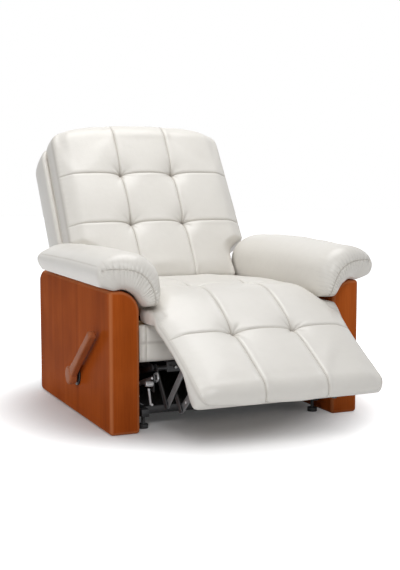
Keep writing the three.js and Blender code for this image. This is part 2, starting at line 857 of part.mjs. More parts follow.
for (const { name, sign } of sides) {
  const shoulder = cut(bar(shoulderPivot, kneePivot, shoulderPlane, sign), bore(shoulderPivot, sign));
  addPart(`shoulder_link_${name}`, join(
    shoulder,
    rivet(kneePivot, shoulderPlane, liftPlane, sign),
    rivet(rodPin, shoulderPlane, rodPlane, sign),
  ), blackSteel);

  const lift = cut(bar(kneePivot, liftPin, liftPlane, sign), bore(kneePivot, sign));
  addPart(`lift_link_${name}`, join(
    lift,
    rivet(crossPivot, liftPlane, crossPlane, sign),
    rivet(liftPin, liftPlane, shoulderPlane, sign),
  ), greySteel);

  const cross = cut(bar(crossPivot, toeKnee, crossPlane, sign), bore(crossPivot, sign));
  addPart(`cross_link_${name}`, join(cross, rivet(toeKnee, crossPlane, toePlane, sign)), blackSteel);

  const toe = cut(bar(toeKnee, toePin, toePlane, sign), bore(toeKnee, sign));
  addPart(`toe_link_${name}`, join(toe, rivet(toePin, toePlane, innerEarPlane, sign)), greySteel);
}

// Footrest brackets: a flange between the pad and the board, and two slotted ears that hang from it
const padFloor = -chaiseSeamDrop - chaiseBoxing;
const flangeTop = padFloor - clearance * 2;
const flangeFoot = flangeTop - bracketThickness;
const boardTop = flangeFoot - clearance;

function chaisePlate(alongFrom, alongTo, outFrom, outTo, lowX, highX) {
  const outline = new THREE.Shape();
  const corners = [[alongFrom, outFrom], [alongTo, outFrom], [alongTo, outTo], [alongFrom, outTo]];
  outline.setFromPoints(corners.map(([along, out]) => {
    const { y, z } = onChaise(along, out);
    return new THREE.Vector2(y, z);
  }).reverse());
  return sidePlate(outline, lowX, highX);
}

function alongChaise(point) {
  const backY = foldY - point.y;
  const downZ = foldZ - point.z;
  return backY * Math.cos(tilt) + downZ * Math.sin(tilt);
}

function slottedEar(slot, index, sign) {
  const { near, far } = linkPlane(index, sign);
  const root = onChaise(alongChaise(slot), flangeFoot + bracketThickness / 2);
  const eyeRadius = rivetRadius + slotPlay + earWall;
  const ear = join(
    sidePlate(linkOutline(root, slot, eyeRadius), near, far),
    sidePlate(slotOutline(slot, eyeRadius), near, far),
  );
  const above = chaisePlate(
    bracketStart - chaiseLength, bracketEnd + chaiseLength, flangeTop, flangeTop + chaiseLength, near, far,
  );
  const opening = sidePlate(
    slotOutline(slot, rivetRadius + slotPlay), near + sign * overrun, far - sign * overrun,
  );
  return cut(ear, above, opening);
}

for (const { name, sign } of sides) {
  const outer = linkPlane(shoulderPlane, sign).near;
  const flange = chaisePlate(
    bracketStart, bracketEnd, flangeTop, flangeFoot, sign * bracketInnerX, outer,
  );
  addPart(`footrest_bracket_${name}`, join(
    flange,
    slottedEar(liftSlot, shoulderPlane, sign),
    slottedEar(toeSlot, innerEarPlane, sign),
  ), blackSteel);
}

const boardEnd = chaiseLength - boardEndInset;
const boardFloor = boardTop - boardThickness;
addPart('footrest_board', chaisePlate(
  boardStart, boardEnd, boardTop, boardFloor, -boardHalfWidth, boardHalfWidth,
), frameWood);

// Hand lever: a wooden arm and a cap on the outside of the right-hand panel
const hubSides = 32;
const leverInner = -panelOuter - leverStandoff;
const leverOuter = leverInner - leverThickness;
const leverTip = {
  y: leverAxis.y - leverLength * Math.cos(leverAngle * degrees),
  z: leverAxis.z + leverLength * Math.sin(leverAngle * degrees),
};

function leverArm() {
  const neck = between(leverAxis, leverTip, 0.3);
  const reach = between(leverAxis, leverTip, 1 - leverTipRadius / leverLength);
  const hub = crossPin(leverAxis, leverHubRadius, leverInner, leverOuter, hubSides);
  const taper = new THREE.Shape();
  const angle = Math.atan2(reach.z - leverAxis.z, reach.y - leverAxis.y);
  const quarter = Math.PI / 2;
  const [low, high, far] = [angle - quarter, angle + quarter, angle + quarter * 3];
  taper.absarc(reach.y, reach.z, leverTipRadius, low, high, false);
  taper.absarc(neck.y, neck.z, leverNeckRadius, high, high, false);
  taper.absarc(leverAxis.y, leverAxis.z, leverHubRadius * 0.8, high, far, false);
  taper.absarc(neck.y, neck.z, leverNeckRadius, low, low, false);
  taper.closePath();
  const inset = leverThickness / 8;
  const arm = sidePlate(taper, leverInner - inset, leverOuter + inset, 10);
  const bored = crossPin(leverAxis, shaftRadius + clearance, leverInner + overrun, leverOuter + inset * 2);
  return cut(join(hub, arm), bored);
}

addPart('lever_arm', leverArm(), cherryWood);

const escutcheonOuter = -panelOuter - clearance - escutcheonThickness;
addPart('lever_escutcheon', cut(
  crossPin(leverAxis, escutcheonRadius, -panelOuter - clearance, escutcheonOuter, hubSides),
  crossPin(leverAxis, shaftRadius + shaftBoreClearance, -panelOuter + overrun, escutcheonOuter - overrun),
), blackSteel);

// Drive shaft: it runs from the lever through the panel and both mechanism plates
const mechanismInner = linkPlane(rodPlane, 1).near + linkGap;
const mechanismOuter = mechanismInner + plateThickness;
const shaftEnd = mechanismOuter + plateThickness;
addPart('drive_shaft', crossPin(
  leverAxis, shaftRadius, leverOuter + leverThickness / 3, shaftEnd,
), greySteel);

const crankPin = {
  y: leverAxis.y + crankRadius * Math.cos(crankAngle * degrees),
  z: leverAxis.z + crankRadius * Math.sin(crankAngle * degrees),
};
const rodReach = Math.hypot(rodPin.y - crankPin.y, rodPin.z - crankPin.z);

for (const { name, sign } of sides) {
  const crank = cut(
    bar(leverAxis, crankPin, shoulderPlane, sign, linkHalfWidth * 1.5),
    bore(leverAxis, sign, shaftRadius + clearance),
  );
  addPart(`drive_crank_${name}`, join(crank, rivet(crankPin, shoulderPlane, rodPlane, sign)), blackSteel);

  // The rod's front end is slotted round the shoulder link's pin
  const towards = { y: (rodPin.y - crankPin.y) / rodReach, z: (rodPin.z - crankPin.z) / rodReach };
  const slot = {
    y: rodPin.y - towards.y * rodSlotOffset,
    z: rodPin.z - towards.z * rodSlotOffset,
    along: towards,
    travel: rodSlotTravel,
  };
  const { near, far } = linkPlane(rodPlane, sign);
  const eye = sidePlate(slotOutline(slot, linkHalfWidth * 1.35), near, far);
  const opening = sidePlate(
    slotOutline(slot, rivetRadius + rodSlotPlay), near + sign * overrun, far - sign * overrun,
  );
  const shank = bar(crankPin, slot, rodPlane, sign, rodHalfWidth);
  const rod = join(shank, bar(crankPin, crankPin, rodPlane, sign), eye);
  addPart(`drive_rod_${name}`, cut(rod, opening, bore(crankPin, sign)), zinc);
}

// Mechanism plates: each hangs from its side rail and carries the shaft and the shoulder pivot
function mechanismPlate(sign) {
  const low = leverAxis.z - tubeSize;
  const nose = { y: shoulderPivot.y, z: shoulderPivot.z };
  const outline = new THREE.Shape();
  outline.moveTo(nose.y, nose.z - linkHalfWidth);
  outline.lineTo(leverAxis.y, low);
  outline.lineTo(plateRear, low);
  outline.lineTo(plateRear, railFoot - clearance);
  outline.lineTo(frontRailRear + clearance, railFoot - clearance);
  outline.lineTo(frontRailRear + clearance, nose.z + linkHalfWidth);
  outline.lineTo(nose.y, nose.z + linkHalfWidth);
  outline.absarc(nose.y, nose.z, linkHalfWidth, Math.PI / 2, Math.PI * 1.5, false);
  const faces = [sign * mechanismInner, sign * mechanismOuter];
  const plate = sidePlate(outline, ...faces);
  // The plate's lower edge slopes from the nose down to the shaft, then runs level
  const edgeAt = (y) => {
    const share = THREE.MathUtils.clamp((y - nose.y) / (leverAxis.y - nose.y), 0, 1);
    return THREE.MathUtils.lerp(nose.z - linkHalfWidth, low, share);
  };
  const legs = [frontTubeY + tubeSize * 2, rearFootY - tubeSize * 2].map((y) => {
    const leg = new THREE.Shape();
    const topY = THREE.MathUtils.lerp(y, leverAxis.y, 0.4);
    const top = { y: topY, z: edgeAt(topY - tubeSize) + tubeSize / 2 };
    leg.setFromPoints([
      new THREE.Vector2(y - tubeSize, baseFoot),
      new THREE.Vector2(y + tubeSize, baseFoot),
      new THREE.Vector2(top.y + tubeSize, top.z),
      new THREE.Vector2(top.y - tubeSize, top.z),
    ]);
    return sidePlate(leg, ...faces);
  });
  const pinEnd = linkPlane(shoulderPlane, sign).far - sign * clearance * 3;
  const pin = crossPin(shoulderPivot, rivetRadius, sign * mechanismOuter, pinEnd);
  const boreFrom = sign * (mechanismInner - overrun);
  const boreTo = sign * (mechanismOuter + overrun);
  const shaftBore = crossPin(leverAxis, shaftRadius + clearance, boreFrom, boreTo);
  return cut(join(plate, ...legs, pin), shaftBore);
}

for (const { name, sign } of sides) {
  addPart(`mechanism_plate_${name}`, mechanismPlate(sign), blackSteel);
}

// Base frame: two rails along the floor, two cross tubes and four levelling feet
const baseInner = mechanismOuter + clearance;
const baseTop = baseFoot + tubeSize;
const baseFront = frontFootY - baseRailOverhang;
const baseRear = rearFootY + baseRailOverhang;
for (const { name, sign } of sides) {
  const faces = [sign * baseInner, sign * (baseInner + baseRailWidth)].sort((a, b) => a - b);
  addPart(`base_rail_${name}`, boxBetween(...faces, baseFront, baseRear, baseFoot, baseTop), blackSteel);
}
for (const [name, y, tubeY] of [['front', frontFootY, frontTubeY], ['rear', rearFootY, rearFootY]]) {
  const tubeFaces = [tubeY - tubeSize / 2, tubeY + tubeSize / 2];
  const tubeEnd = baseInner - clearance;
  addPart(`${name}_cross_tube`, boxBetween(-tubeEnd, tubeEnd, ...tubeFaces, baseFoot, baseTop), blackSteel);
  for (const { name: side, sign } of sides) {
    const x = sign * (baseInner + baseRailWidth / 2);
    addPart(`levelling_foot_${name}_${side}`, join(
      post(x, y, footRadius, 0, footPadHeight, 20),
      post(x, y, footStemRadius, footPadHeight / 2, baseFoot - clearance),
    ), blackNylon);
  }
}

// Cross angle under the apron, with a bolt head near each end
function crossAngle() {
  const top = apronFoot - clearance;
  const face = apronFront - apronCrown / 2;
  const ends = [-angleHalfWidth, angleHalfWidth];
  const wall = boxBetween(...ends, face, face + angleThickness, top - angleHeight, top);
  const flange = boxBetween(...ends, face, face + angleFlange, top - angleThickness, top);
  const heads = sides.map(({ sign }) => {
    const head = new THREE.CylinderGeometry(boltRadius, boltRadius, angleThickness * 2, 6);
    head.translate(sign * (angleHalfWidth - boltRadius * 2.5), face, top - angleHeight / 2);
    return head;
  });
  return join(wall, flange, ...heads);
}

addPart('front_cross_angle', crossAngle(), blackSteel);

// The origin is on the floor, under the middle of the whole seat
const extent = new THREE.Box3().setFromObject(chair);
chair.position.y = -(extent.min.y + extent.max.y) / 2;

export default chair;
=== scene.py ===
"""Looks of a manual recliner seat: quilted leather, cherry wood panels and a steel footrest linkage.

Sub-assemblies give their sizes in millimetres on the drawing's axes, as the frame's solids do: X across the
seat, Y from the footrest to the back, Z up from the floor. placed() turns those into the frame's metres.
"""

import json
import logging
from dataclasses import dataclass
from enum import Enum
from math import acos, cos, pi, radians, sin, sqrt
from typing import Iterable, Sequence

import bmesh
import bpy
import numpy as np
from bpy.types import ColorRamp, Material, Mesh, Node, NodeSocket, Object
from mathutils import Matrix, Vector, noise


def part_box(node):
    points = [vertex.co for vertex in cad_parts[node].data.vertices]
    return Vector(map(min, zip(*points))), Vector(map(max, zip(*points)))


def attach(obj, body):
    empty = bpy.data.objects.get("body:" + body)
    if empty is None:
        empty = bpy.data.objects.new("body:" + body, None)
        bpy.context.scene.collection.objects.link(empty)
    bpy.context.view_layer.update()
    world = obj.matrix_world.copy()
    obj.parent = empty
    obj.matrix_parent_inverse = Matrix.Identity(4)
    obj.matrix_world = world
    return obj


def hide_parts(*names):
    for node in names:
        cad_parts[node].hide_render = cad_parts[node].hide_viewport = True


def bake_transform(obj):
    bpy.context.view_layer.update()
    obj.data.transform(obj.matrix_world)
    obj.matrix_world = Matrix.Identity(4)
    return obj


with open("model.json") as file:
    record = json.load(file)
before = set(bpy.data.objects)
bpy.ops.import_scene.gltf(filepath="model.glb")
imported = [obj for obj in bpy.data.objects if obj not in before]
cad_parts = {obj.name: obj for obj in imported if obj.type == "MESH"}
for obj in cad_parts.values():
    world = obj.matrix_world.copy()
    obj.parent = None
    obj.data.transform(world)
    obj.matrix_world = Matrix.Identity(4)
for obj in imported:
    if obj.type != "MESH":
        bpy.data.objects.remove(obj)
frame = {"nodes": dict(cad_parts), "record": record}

LOG = logging.getLogger("recliner")
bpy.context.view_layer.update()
MM = 0.001
PANEL_FRONT = -400.0
SHIFT_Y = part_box("side_panel_right")[0].y - PANEL_FRONT * MM
SIDES = {"right": -1, "left": 1}
SMOOTH_ANGLE = radians(35)
BEVEL_ANGLE = radians(40)


class Slot(Enum):
    """The record's material slots."""

    LEATHER = "leather"
    CHERRY = "cherry_wood"
    BLACK_STEEL = "black_steel"
    GREY_STEEL = "grey_steel"
    ZINC = "zinc"
    NYLON = "black_nylon"


def placed(points: np.ndarray) -> np.ndarray:
    """Drawing millimetres as metres in the frame."""
    moved = np.asarray(points, float) * MM
    moved[..., 1] += SHIFT_Y
    return moved


def smoothstep(value: np.ndarray, low: float, high: float) -> np.ndarray:
    """A smooth rise from 0 at low to 1 at high."""
    share = np.clip((np.asarray(value, float) - low) / (high - low), 0, 1)
    return share * share * (3 - 2 * share)


def lerp(low: float, high: float, share: np.ndarray) -> np.ndarray:
    """The value a share of the way from low to high."""
    return low + (high - low) * share


class Flow:
    """A number on its way through a shader tree. Python's operators add Math nodes to it."""

    def __init__(self, finish: "Finish", socket: NodeSocket) -> None:
        """Wraps a socket of the finish's tree."""
        self.finish = finish
        self.socket = socket

    def math(self, operation: str, *others: object) -> "Flow":
        """Puts this value, then the others, through one Math node.

        Args:
            operation: The Math node's operation.
            others: Flows or numbers for the further inputs.

        Returns:
            The node's result.
        """
        inputs = {index: value for index, value in enumerate([self, *others])}
        return self.finish.node("ShaderNodeMath", {"operation": operation}, inputs)

    def __add__(self, other: object) -> "Flow":
        """Sum."""
        return self.math("ADD", other)

    __radd__ = __add__

    def __mul__(self, other: object) -> "Flow":
        """Product."""
        return self.math("MULTIPLY", other)

    __rmul__ = __mul__

    def __sub__(self, other: object) -> "Flow":
        """Difference."""
        return self.math("SUBTRACT", other)

    def __rsub__(self, other: float) -> "Flow":
        """Number minus value."""
        return (self * -1.0) + other

    def clamped(self) -> "Flow":
        """The value held between 0 and 1."""
        return self.math("MAXIMUM", 0.0).math("MINIMUM", 1.0)


class Finish:
    """One procedural material on a Principled shader."""

    def __init__(self, name: str) -> None:
        """Makes the empty material.

        Args:
            name: The material's name.
        """
        self.material = bpy.data.materials.new(name)
        self.material.use_nodes = True
        self.tree = self.material.node_tree
        self.tree.nodes.clear()
        self.shader = self.tree.nodes.new("ShaderNodeBsdfPrincipled")
        self.output = self.tree.nodes.new("ShaderNodeOutputMaterial")
        self.tree.links.new(self.shader.outputs[0], self.output.inputs[0])
        self.position = self.node("ShaderNodeTexCoord", output="Object")

    def node(
        self, kind: str, settings: dict | None = None, inputs: dict | None = None, output: str | int = 0
    ) -> Flow:
        """Adds one node.

        Args:
            kind: The node's type.
            settings: Its own settings, and the stops of a colour ramp under "stops".
            inputs: Flows or plain values, by the name or index of their sockets.
            output: The socket that is handed back.

        Returns:
            The chosen output.
        """
        made = self.tree.nodes.new(kind)
        for key, value in (settings or {}).items():
            if key == "stops":
                self._set_stops(made.color_ramp, value)
            else:
                setattr(made, key, value)
        for key, value in (inputs or {}).items():
            if isinstance(value, Flow):
                self.tree.links.new(value.socket, made.inputs[key])
            else:
                made.inputs[key].default_value = value
        return Flow(self, made.outputs[output])

    @staticmethod
    def _set_stops(ramp: ColorRamp, stops: Sequence[tuple[float, tuple]]) -> None:
        """Gives a colour ramp its stops."""
        while len(ramp.elements) < len(stops):
            ramp.elements.new(0.5)
        for element, (place, colour) in zip(ramp.elements, stops):
            element.position = place
            element.color = (*colour, 1.0)

    def noise(self, scale: float, detail: float = 3.0, stretch: tuple | None = None) -> Flow:
        """Noise on the piece's own coordinates.

        Args:
            scale: Waves per metre.
            detail: Octaves.
            stretch: How much each axis counts.

        Returns:
            The noise, from 0 to 1.
        """
        place = self.stretched(stretch) if stretch else self.position
        inputs = {"Vector": place, "Scale": scale, "Detail": detail}
        return self.node("ShaderNodeTexNoise", inputs=inputs)

    def stretched(self, scale: tuple, turn: tuple = (0.0, 0.0, 0.0)) -> Flow:
        """The piece's coordinates, turned and then scaled by axis."""
        inputs = {"Vector": self.position, "Rotation": turn, "Scale": scale}
        return self.node("ShaderNodeMapping", {"vector_type": "POINT"}, inputs)

    def mixed(self, share: object, low: object, high: object) -> Flow:
        """A colour between two colours."""
        inputs = {0: share, 6: self._colour(low), 7: self._colour(high)}
        return self.node("ShaderNodeMix", {"data_type": "RGBA"}, inputs, output=2)

    @staticmethod
    def _colour(value: object) -> object:
        """A plain colour with its alpha, or the flow as it is."""
        return value if isinstance(value, Flow) else (*value, 1.0)

    def attribute(self, name: str) -> Flow:
        """A number that the mesh carries at its points."""
        return self.node("ShaderNodeAttribute", {"attribute_name": name}, output="Fac")

    def bump(self, height: Flow, depth: float, strength: float = 1.0, under: Flow | None = None) -> Flow:
        """A bump of that depth in metres, on top of another if one is given."""
        inputs = {"Height": height, "Distance": depth, "Strength": strength}
        if under:
            inputs["Normal"] = under
        return self.node("ShaderNodeBump", inputs=inputs)

    def set(self, **values: object) -> Material:
        """Feeds the Principled shader; underscores in names stand for spaces.

        Returns:
            The material.
        """
        for key, value in values.items():
            socket = self.shader.inputs[key.replace("_", " ")]
            if isinstance(value, Flow):
                self.tree.links.new(value.socket, socket)
            else:
                is_colour = socket.type == "RGBA"
                socket.default_value = (*value, 1.0) if is_colour else value
        return self.material


@dataclass(frozen=True)
class Leather:
    """Soft top-grain leather: pale, finely pebbled and satin."""

    name: str
    light: tuple = (0.79, 0.765, 0.715)
    shade: tuple = (0.715, 0.685, 0.63)
    # Painted shade: the dark colour laid into seams, tufts and pleat valleys.
    crease_shade: tuple = (0.30, 0.265, 0.225)
    roughness: float = 0.35
    pebble_per_metre: float = 520.0
    pebble_depth: float = 0.00012

    def material(self) -> Material:
        """Builds the material; a mask that the mesh carries paints shade into its seams, tufts and pleat
        valleys.
        """
        finish = Finish(self.name)
        drift = finish.noise(5.0, 2.0)
        mottle = finish.noise(38.0, 4.0)
        tone = (drift * 0.55 + mottle * 0.45).clamped()
        hide = finish.mixed(tone, self.shade, self.light)
        # Painted shade in the seams, tufts and pleat valleys, led by the mesh's mask.
        crease_shade = finish.attribute("crease_shade").clamped()
        colour = finish.mixed(crease_shade * 0.85, hide, self.crease_shade)
        pebbles = finish.node(
            "ShaderNodeTexVoronoi",
            {"feature": "SMOOTH_F1"},
            {"Vector": finish.position, "Scale": self.pebble_per_metre, "Smoothness": 0.6},
            output="Distance",
        )
        pores = finish.noise(1500.0, 2.0)
        soft = finish.bump(finish.noise(55.0, 3.0), 0.0012, 0.35)
        grain = finish.bump(pebbles + pores * 0.35, self.pebble_depth, 0.8, soft)
        rough = mottle * 0.12 + (self.roughness - 0.06) + crease_shade * 0.2
        return finish.set(Base_Color=colour, Roughness=rough, Normal=grain, Specular_IOR_Level=0.5)


@dataclass(frozen=True)
class Timber:
    """Straight-grained wood under a satin lacquer; the grain runs along one axis of the piece."""

    name: str
    stops: tuple
    along: tuple = (1.0, 1.0, 0.045)
    turn: tuple = (0.0, 0.0, 0.0)
    figure_per_metre: float = 10.0
    roughness: float = 0.42
    coat: float = 0.05
    # Colour of the painted highlight along the rounded edges.
    edge_highlight: tuple = (0.66, 0.27, 0.12)
    gloss: float = 0.0
    pore_depth: float = 0.00012

    def material(self) -> Material:
        """Builds the material: broad bands, fine streaks, pores and a painted highlight on the rounded edges.
        """
        finish = Finish(self.name)
        grain = finish.stretched(self.along, self.turn)
        bands = finish.node(
            "ShaderNodeTexNoise",
            inputs={"Vector": grain, "Scale": self.figure_per_metre, "Detail": 5.0, "Distortion": 0.6},
        )
        streaks = finish.node(
            "ShaderNodeTexNoise", inputs={"Vector": grain, "Scale": 240.0, "Detail": 3.0}
        )
        cloud = finish.noise(4.0, 2.0)
        tone = (bands * 0.44 + streaks * 0.18 + cloud * 0.38).clamped()
        veneer = finish.node("ShaderNodeValToRGB", {"stops": self.stops}, {"Fac": tone})
        # Painted highlight: a lighter colour along the rounded edges, led by the mesh's mask.
        colour = finish.mixed(finish.attribute("edge_highlight").clamped() * 0.42, veneer, self.edge_highlight)
        pores = (streaks - 0.5) * 2.0
        relief = finish.bump(pores, self.pore_depth, 0.5)
        rough = streaks * 0.12 + (self.roughness - 0.06)
        return finish.set(
            Base_Color=colour, Roughness=rough, Normal=relief,
            Coat_Weight=self.coat, Coat_Roughness=0.22, Specular_IOR_Level=self.gloss,
        )


@dataclass(frozen=True)
class Metal:
    """Painted, blackened or plated steel with faint handling marks."""

    name: str
    low: tuple
    high: tuple
    metallic: float
    roughness: float
    mark_depth: float = 0.00006

    def material(self) -> Material:
        """Builds the material: cloudy tone, brushed marks and fine bump."""
        finish = Finish(self.name)
        cloud = finish.noise(45.0, 4.0)
        marks = finish.noise(700.0, 3.0, (1.0, 0.12, 0.12))
        colour = finish.mixed((cloud * 0.7 + marks * 0.3).clamped(), self.low, self.high)
        rough = cloud * 0.16 + marks * 0.08 + (self.roughness - 0.12)
        relief = finish.bump(marks, self.mark_depth, 0.4)
        return finish.set(Base_Color=colour, Roughness=rough, Normal=relief, Metallic=self.metallic)


@dataclass(frozen=True)
class Woven:
    """Close black cloth or moulded nylon: a dull base with a fine even texture."""

    name: str
    low: tuple
    high: tuple
    cell_per_metre: float
    depth: float
    roughness: float = 0.8

    def material(self) -> Material:
        """Builds the material."""
        finish = Finish(self.name)
        cells = finish.node(
            "ShaderNodeTexVoronoi",
            inputs={"Vector": finish.position, "Scale": self.cell_per_metre},
            output="Distance",
        )
        tone = (finish.noise(30.0, 3.0) * 0.6 + cells * 0.4).clamped()
        colour = finish.mixed(tone, self.low, self.high)
        rough = cells * 0.1 + (self.roughness - 0.05)
        return finish.set(
            Base_Color=colour, Roughness=rough, Normal=finish.bump(cells, self.depth, 0.6)
        )


CHERRY_STOPS = (
    (0.32, (0.235, 0.043, 0.006)),
    (0.44, (0.345, 0.066, 0.009)),
    (0.54, (0.425, 0.086, 0.012)),
    (0.68, (0.540, 0.125, 0.022)),
)
LEVER_STOPS = (
    (0.32, (0.300, 0.086, 0.030)),
    (0.50, (0.400, 0.124, 0.046)),
    (0.68, (0.500, 0.172, 0.070)),
)
PALE_STOPS = (
    (0.30, (0.34, 0.22, 0.12)),
    (0.50, (0.50, 0.36, 0.21)),
    (0.72, (0.62, 0.47, 0.30)),
)


class Finishes:
    """Every material of the seat, made once, and the stitcher with its thread."""

    def __init__(self) -> None:
        """Builds the materials."""
        self.leather = Leather("warm_white_leather").material()
        self.cherry = Timber("cherry_veneer", CHERRY_STOPS).material()
        self.lever_wood = Timber(
            "cherry_lever", LEVER_STOPS, turn=(radians(-37), 0.0, 0.0), along=(1.0, 0.06, 1.0), coat=0.2
        ).material()
        self.frame_wood = Timber(
            "frame_timber", PALE_STOPS, along=(0.06, 1.0, 1.0), roughness=0.7, coat=0.0
        ).material()
        self.black = Metal("black_steel", (0.020, 0.020, 0.021), (0.052, 0.052, 0.055), 0.45, 0.38).material()
        self.grey = Metal("grey_steel", (0.15, 0.151, 0.155), (0.23, 0.232, 0.238), 0.35, 0.42).material()
        self.zinc = Metal("zinc_plate", (0.50, 0.50, 0.51), (0.68, 0.68, 0.69), 0.75, 0.42).material()
        self.nylon = Woven(
            "black_nylon", (0.012, 0.012, 0.012), (0.028, 0.028, 0.03), 900.0, 0.00005, 0.6
        ).material()
        # Near-black cloth: a guessed dust cover that also paints the shade under the seat.
        self.lining_and_shade = Woven(
            "black_lining_and_shade", (0.004, 0.004, 0.004), (0.010, 0.010, 0.011), 1400.0, 0.0002
        ).material()
        self.thread = Woven(
            "seam_thread", (0.50, 0.46, 0.40), (0.66, 0.62, 0.55), 3000.0, 0.0001, 0.6
        ).material()
        self.stitcher = Stitcher(self.thread)


class Piece:
    """Makes and finishes mesh objects whose place is in their mesh."""

    @staticmethod
    def mesh(name: str, points: np.ndarray, faces: Iterable[Sequence[int]]) -> Object:
        """A smooth-shaded object from points in metres, with its faces turned outwards.

        Args:
            name: The object's name.
            points: Points, one row each.
            faces: Point indices of each face.

        Returns:
            The object, at the origin.
        """
        data = bpy.data.meshes.new(name)
        data.from_pydata([tuple(p) for p in np.asarray(points).reshape(-1, 3)], [], [tuple(f) for f in faces])
        made = Piece.linked(data)
        shape = bmesh.new()
        shape.from_mesh(data)
        bmesh.ops.recalc_face_normals(shape, faces=shape.faces)
        shape.to_mesh(data)
        shape.free()
        data.shade_smooth()
        return made

    @staticmethod
    def lofted(name: str, rings: Sequence) -> Object:
        """A closed object through rings of points in drawing millimetres."""
        points, faces = loft(np.array(rings))
        return Piece.mesh(name, placed(points), faces)

    @staticmethod
    def linked(data: Mesh) -> Object:
        """Puts an object with that mesh, and its name, into the scene.

        Args:
            data: The mesh.

        Returns:
            The object, at the origin.
        """
        made = bpy.data.objects.new(data.name, data)
        bpy.context.scene.collection.objects.link(made)
        return made

    @staticmethod
    def shaded(made: Object) -> None:
        """Shades the object smoothly between its sharp edges."""
        made.data.shade_smooth()
        made.data.set_sharp_from_angle(angle=SMOOTH_ANGLE)

    @staticmethod
    def settled(made: Object) -> Object:
        """Turns the object's modifiers into plain mesh."""
        depsgraph = bpy.context.evaluated_depsgraph_get()
        final = bpy.data.meshes.new_from_object(made.evaluated_get(depsgraph))
        final.name = made.name
        made.modifiers.clear()
        made.data = final
        return made

    @staticmethod
    def subdivided(made: Object) -> Object:
        """Smooths the object by one subdivision level."""
        step = made.modifiers.new("smooth", "SUBSURF")
        step.levels = 1
        step.render_levels = 1
        return Piece.settled(made)

    @staticmethod
    def bevelled(made: Object, width: float) -> Object:
        """Rounds the object's sharp edges.

        Args:
            made: The object.
            width: The bevel's width in metres.

        Returns:
            The object, with plain mesh.
        """
        step = made.modifiers.new("round", "BEVEL")
        step.width = width
        step.segments = 2
        step.limit_method = "ANGLE"
        step.angle_limit = BEVEL_ANGLE
        Piece.settled(made)
        Piece.shaded(made)
        return made

    @staticmethod
    def dressed(
        made: Object, material: Material, slot: Slot | None, replaces: Sequence[str] = ()
    ) -> Object:
        """Gives the object its finish.

        Args:
            made: The object.
            material: Its material.
            slot: Its material slot, or none; not used.
            replaces: The frame's nodes it stands for.

        Returns:
            The object.
        """
        made.data.materials.clear()
        made.data.materials.append(material)
        if replaces:
            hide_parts(*replaces)
        LOG.info("%s: %d faces", made.name, len(made.data.polygons))
        return made

    @staticmethod
    def mark(made: Object, name: str, values: np.ndarray) -> None:
        """Stores a number at each point of the mesh.

        Args:
            made: The object.
            name: The attribute's name.
            values: One number per point.
        """
        layer = made.data.attributes.new(name, "FLOAT", "POINT")
        layer.data.foreach_set("value", np.asarray(values, np.float32).ravel())


def grid_faces(index: np.ndarray) -> list:
    """The four-sided faces of a grid of point numbers."""
    quads = np.stack([index[:-1, :-1], index[1:, :-1], index[1:, 1:], index[:-1, 1:]], -1)
    return [tuple(q) for q in quads.reshape(-1, 4)]


def loft(rings: np.ndarray) -> tuple[np.ndarray, list]:
    """Joins closed rings of equal count and caps the first and last.

    Args:
        rings: Points by ring, point and axis.

    Returns:
        The points as one list, and the faces.
    """
    count, around = rings.shape[:2]
    index = np.arange(count * around).reshape(count, around)
    turned = np.roll(index, -1, axis=1)
    quads = np.stack([index[:-1], turned[:-1], turned[1:], index[1:]], -1).reshape(-1, 4)
    faces = [tuple(q) for q in quads]
    faces.append(tuple(index[0]))
    faces.append(tuple(index[-1]))
    return rings.reshape(-1, 3), faces


def samples(bounds: Sequence[float], spacing: float, near: Sequence[float]) -> np.ndarray:
    """Places between bounds, close together beside each inner bound.

    Args:
        bounds: The cell edges in order, rising.
        spacing: The usual step.
        near: Distances from an inner bound that get a place of their own.

    Returns:
        The places, rising.
    """
    places = [bounds[0]]
    for i, (low, high) in enumerate(zip(bounds, bounds[1:])):
        start = [low + d for d in near] if i > 0 else []
        end = [high - d for d in reversed(near)] if i < len(bounds) - 2 else []
        first = start[-1] if start else low
        last = end[0] if end else high
        steps = max(int(round((last - first) / spacing)), 1)
        inner = [lerp(first, last, k / steps) for k in range(1, steps)]
        places += start + inner + end + [high]
    return np.array(places)


class SideCurve:
    """A smooth line in the side view, measured along its length."""

    count: int = 1600

    def __init__(self, points: Sequence[tuple[float, float]]) -> None:
        """Threads a uniform Catmull-Rom line through points (y, z).

        Args:
            points: The line's points.
        """
        knots = np.array(points, float)
        last = len(knots) - 1
        place = np.linspace(0, last, self.count)
        base = np.minimum(place.astype(int), last - 1)
        share = (place - base)[:, None]
        before, here = knots[np.maximum(base - 1, 0)], knots[base]
        after, beyond = knots[base + 1], knots[np.minimum(base + 2, last)]
        start, end = (after - before) / 2, (beyond - here) / 2
        self.line = (
            (2 * here - 2 * after + start + end) * share**3
            + (-3 * here + 3 * after - 2 * start - end) * share**2
            + start * share
            + here
        )
        steps = np.hypot(*np.diff(self.line, axis=0).T)
        self.lengths = np.concatenate([[0], np.cumsum(steps)])
        self.length = float(self.lengths[-1])

    def at(self, along: np.ndarray) -> np.ndarray:
        """Points (y, z) at lengths along the line."""
        return np.stack([np.interp(along, self.lengths, self.line[:, i]) for i in (0, 1)], -1)

    def direction(self, along: np.ndarray, reach: float = 2.0) -> np.ndarray:
        """Unit directions at lengths along the line."""
        ahead = self.at(np.minimum(np.asarray(along) + reach, self.length))
        behind = self.at(np.maximum(np.asarray(along) - reach, 0))
        span = ahead - behind
        return span / np.linalg.norm(span, axis=-1, keepdims=True)

    def length_at_y(self, y: float) -> float:
        """The length at which the line, which runs towards minus Y, passes y."""
        return float(np.interp(-y, -self.line[:, 0], self.lengths))


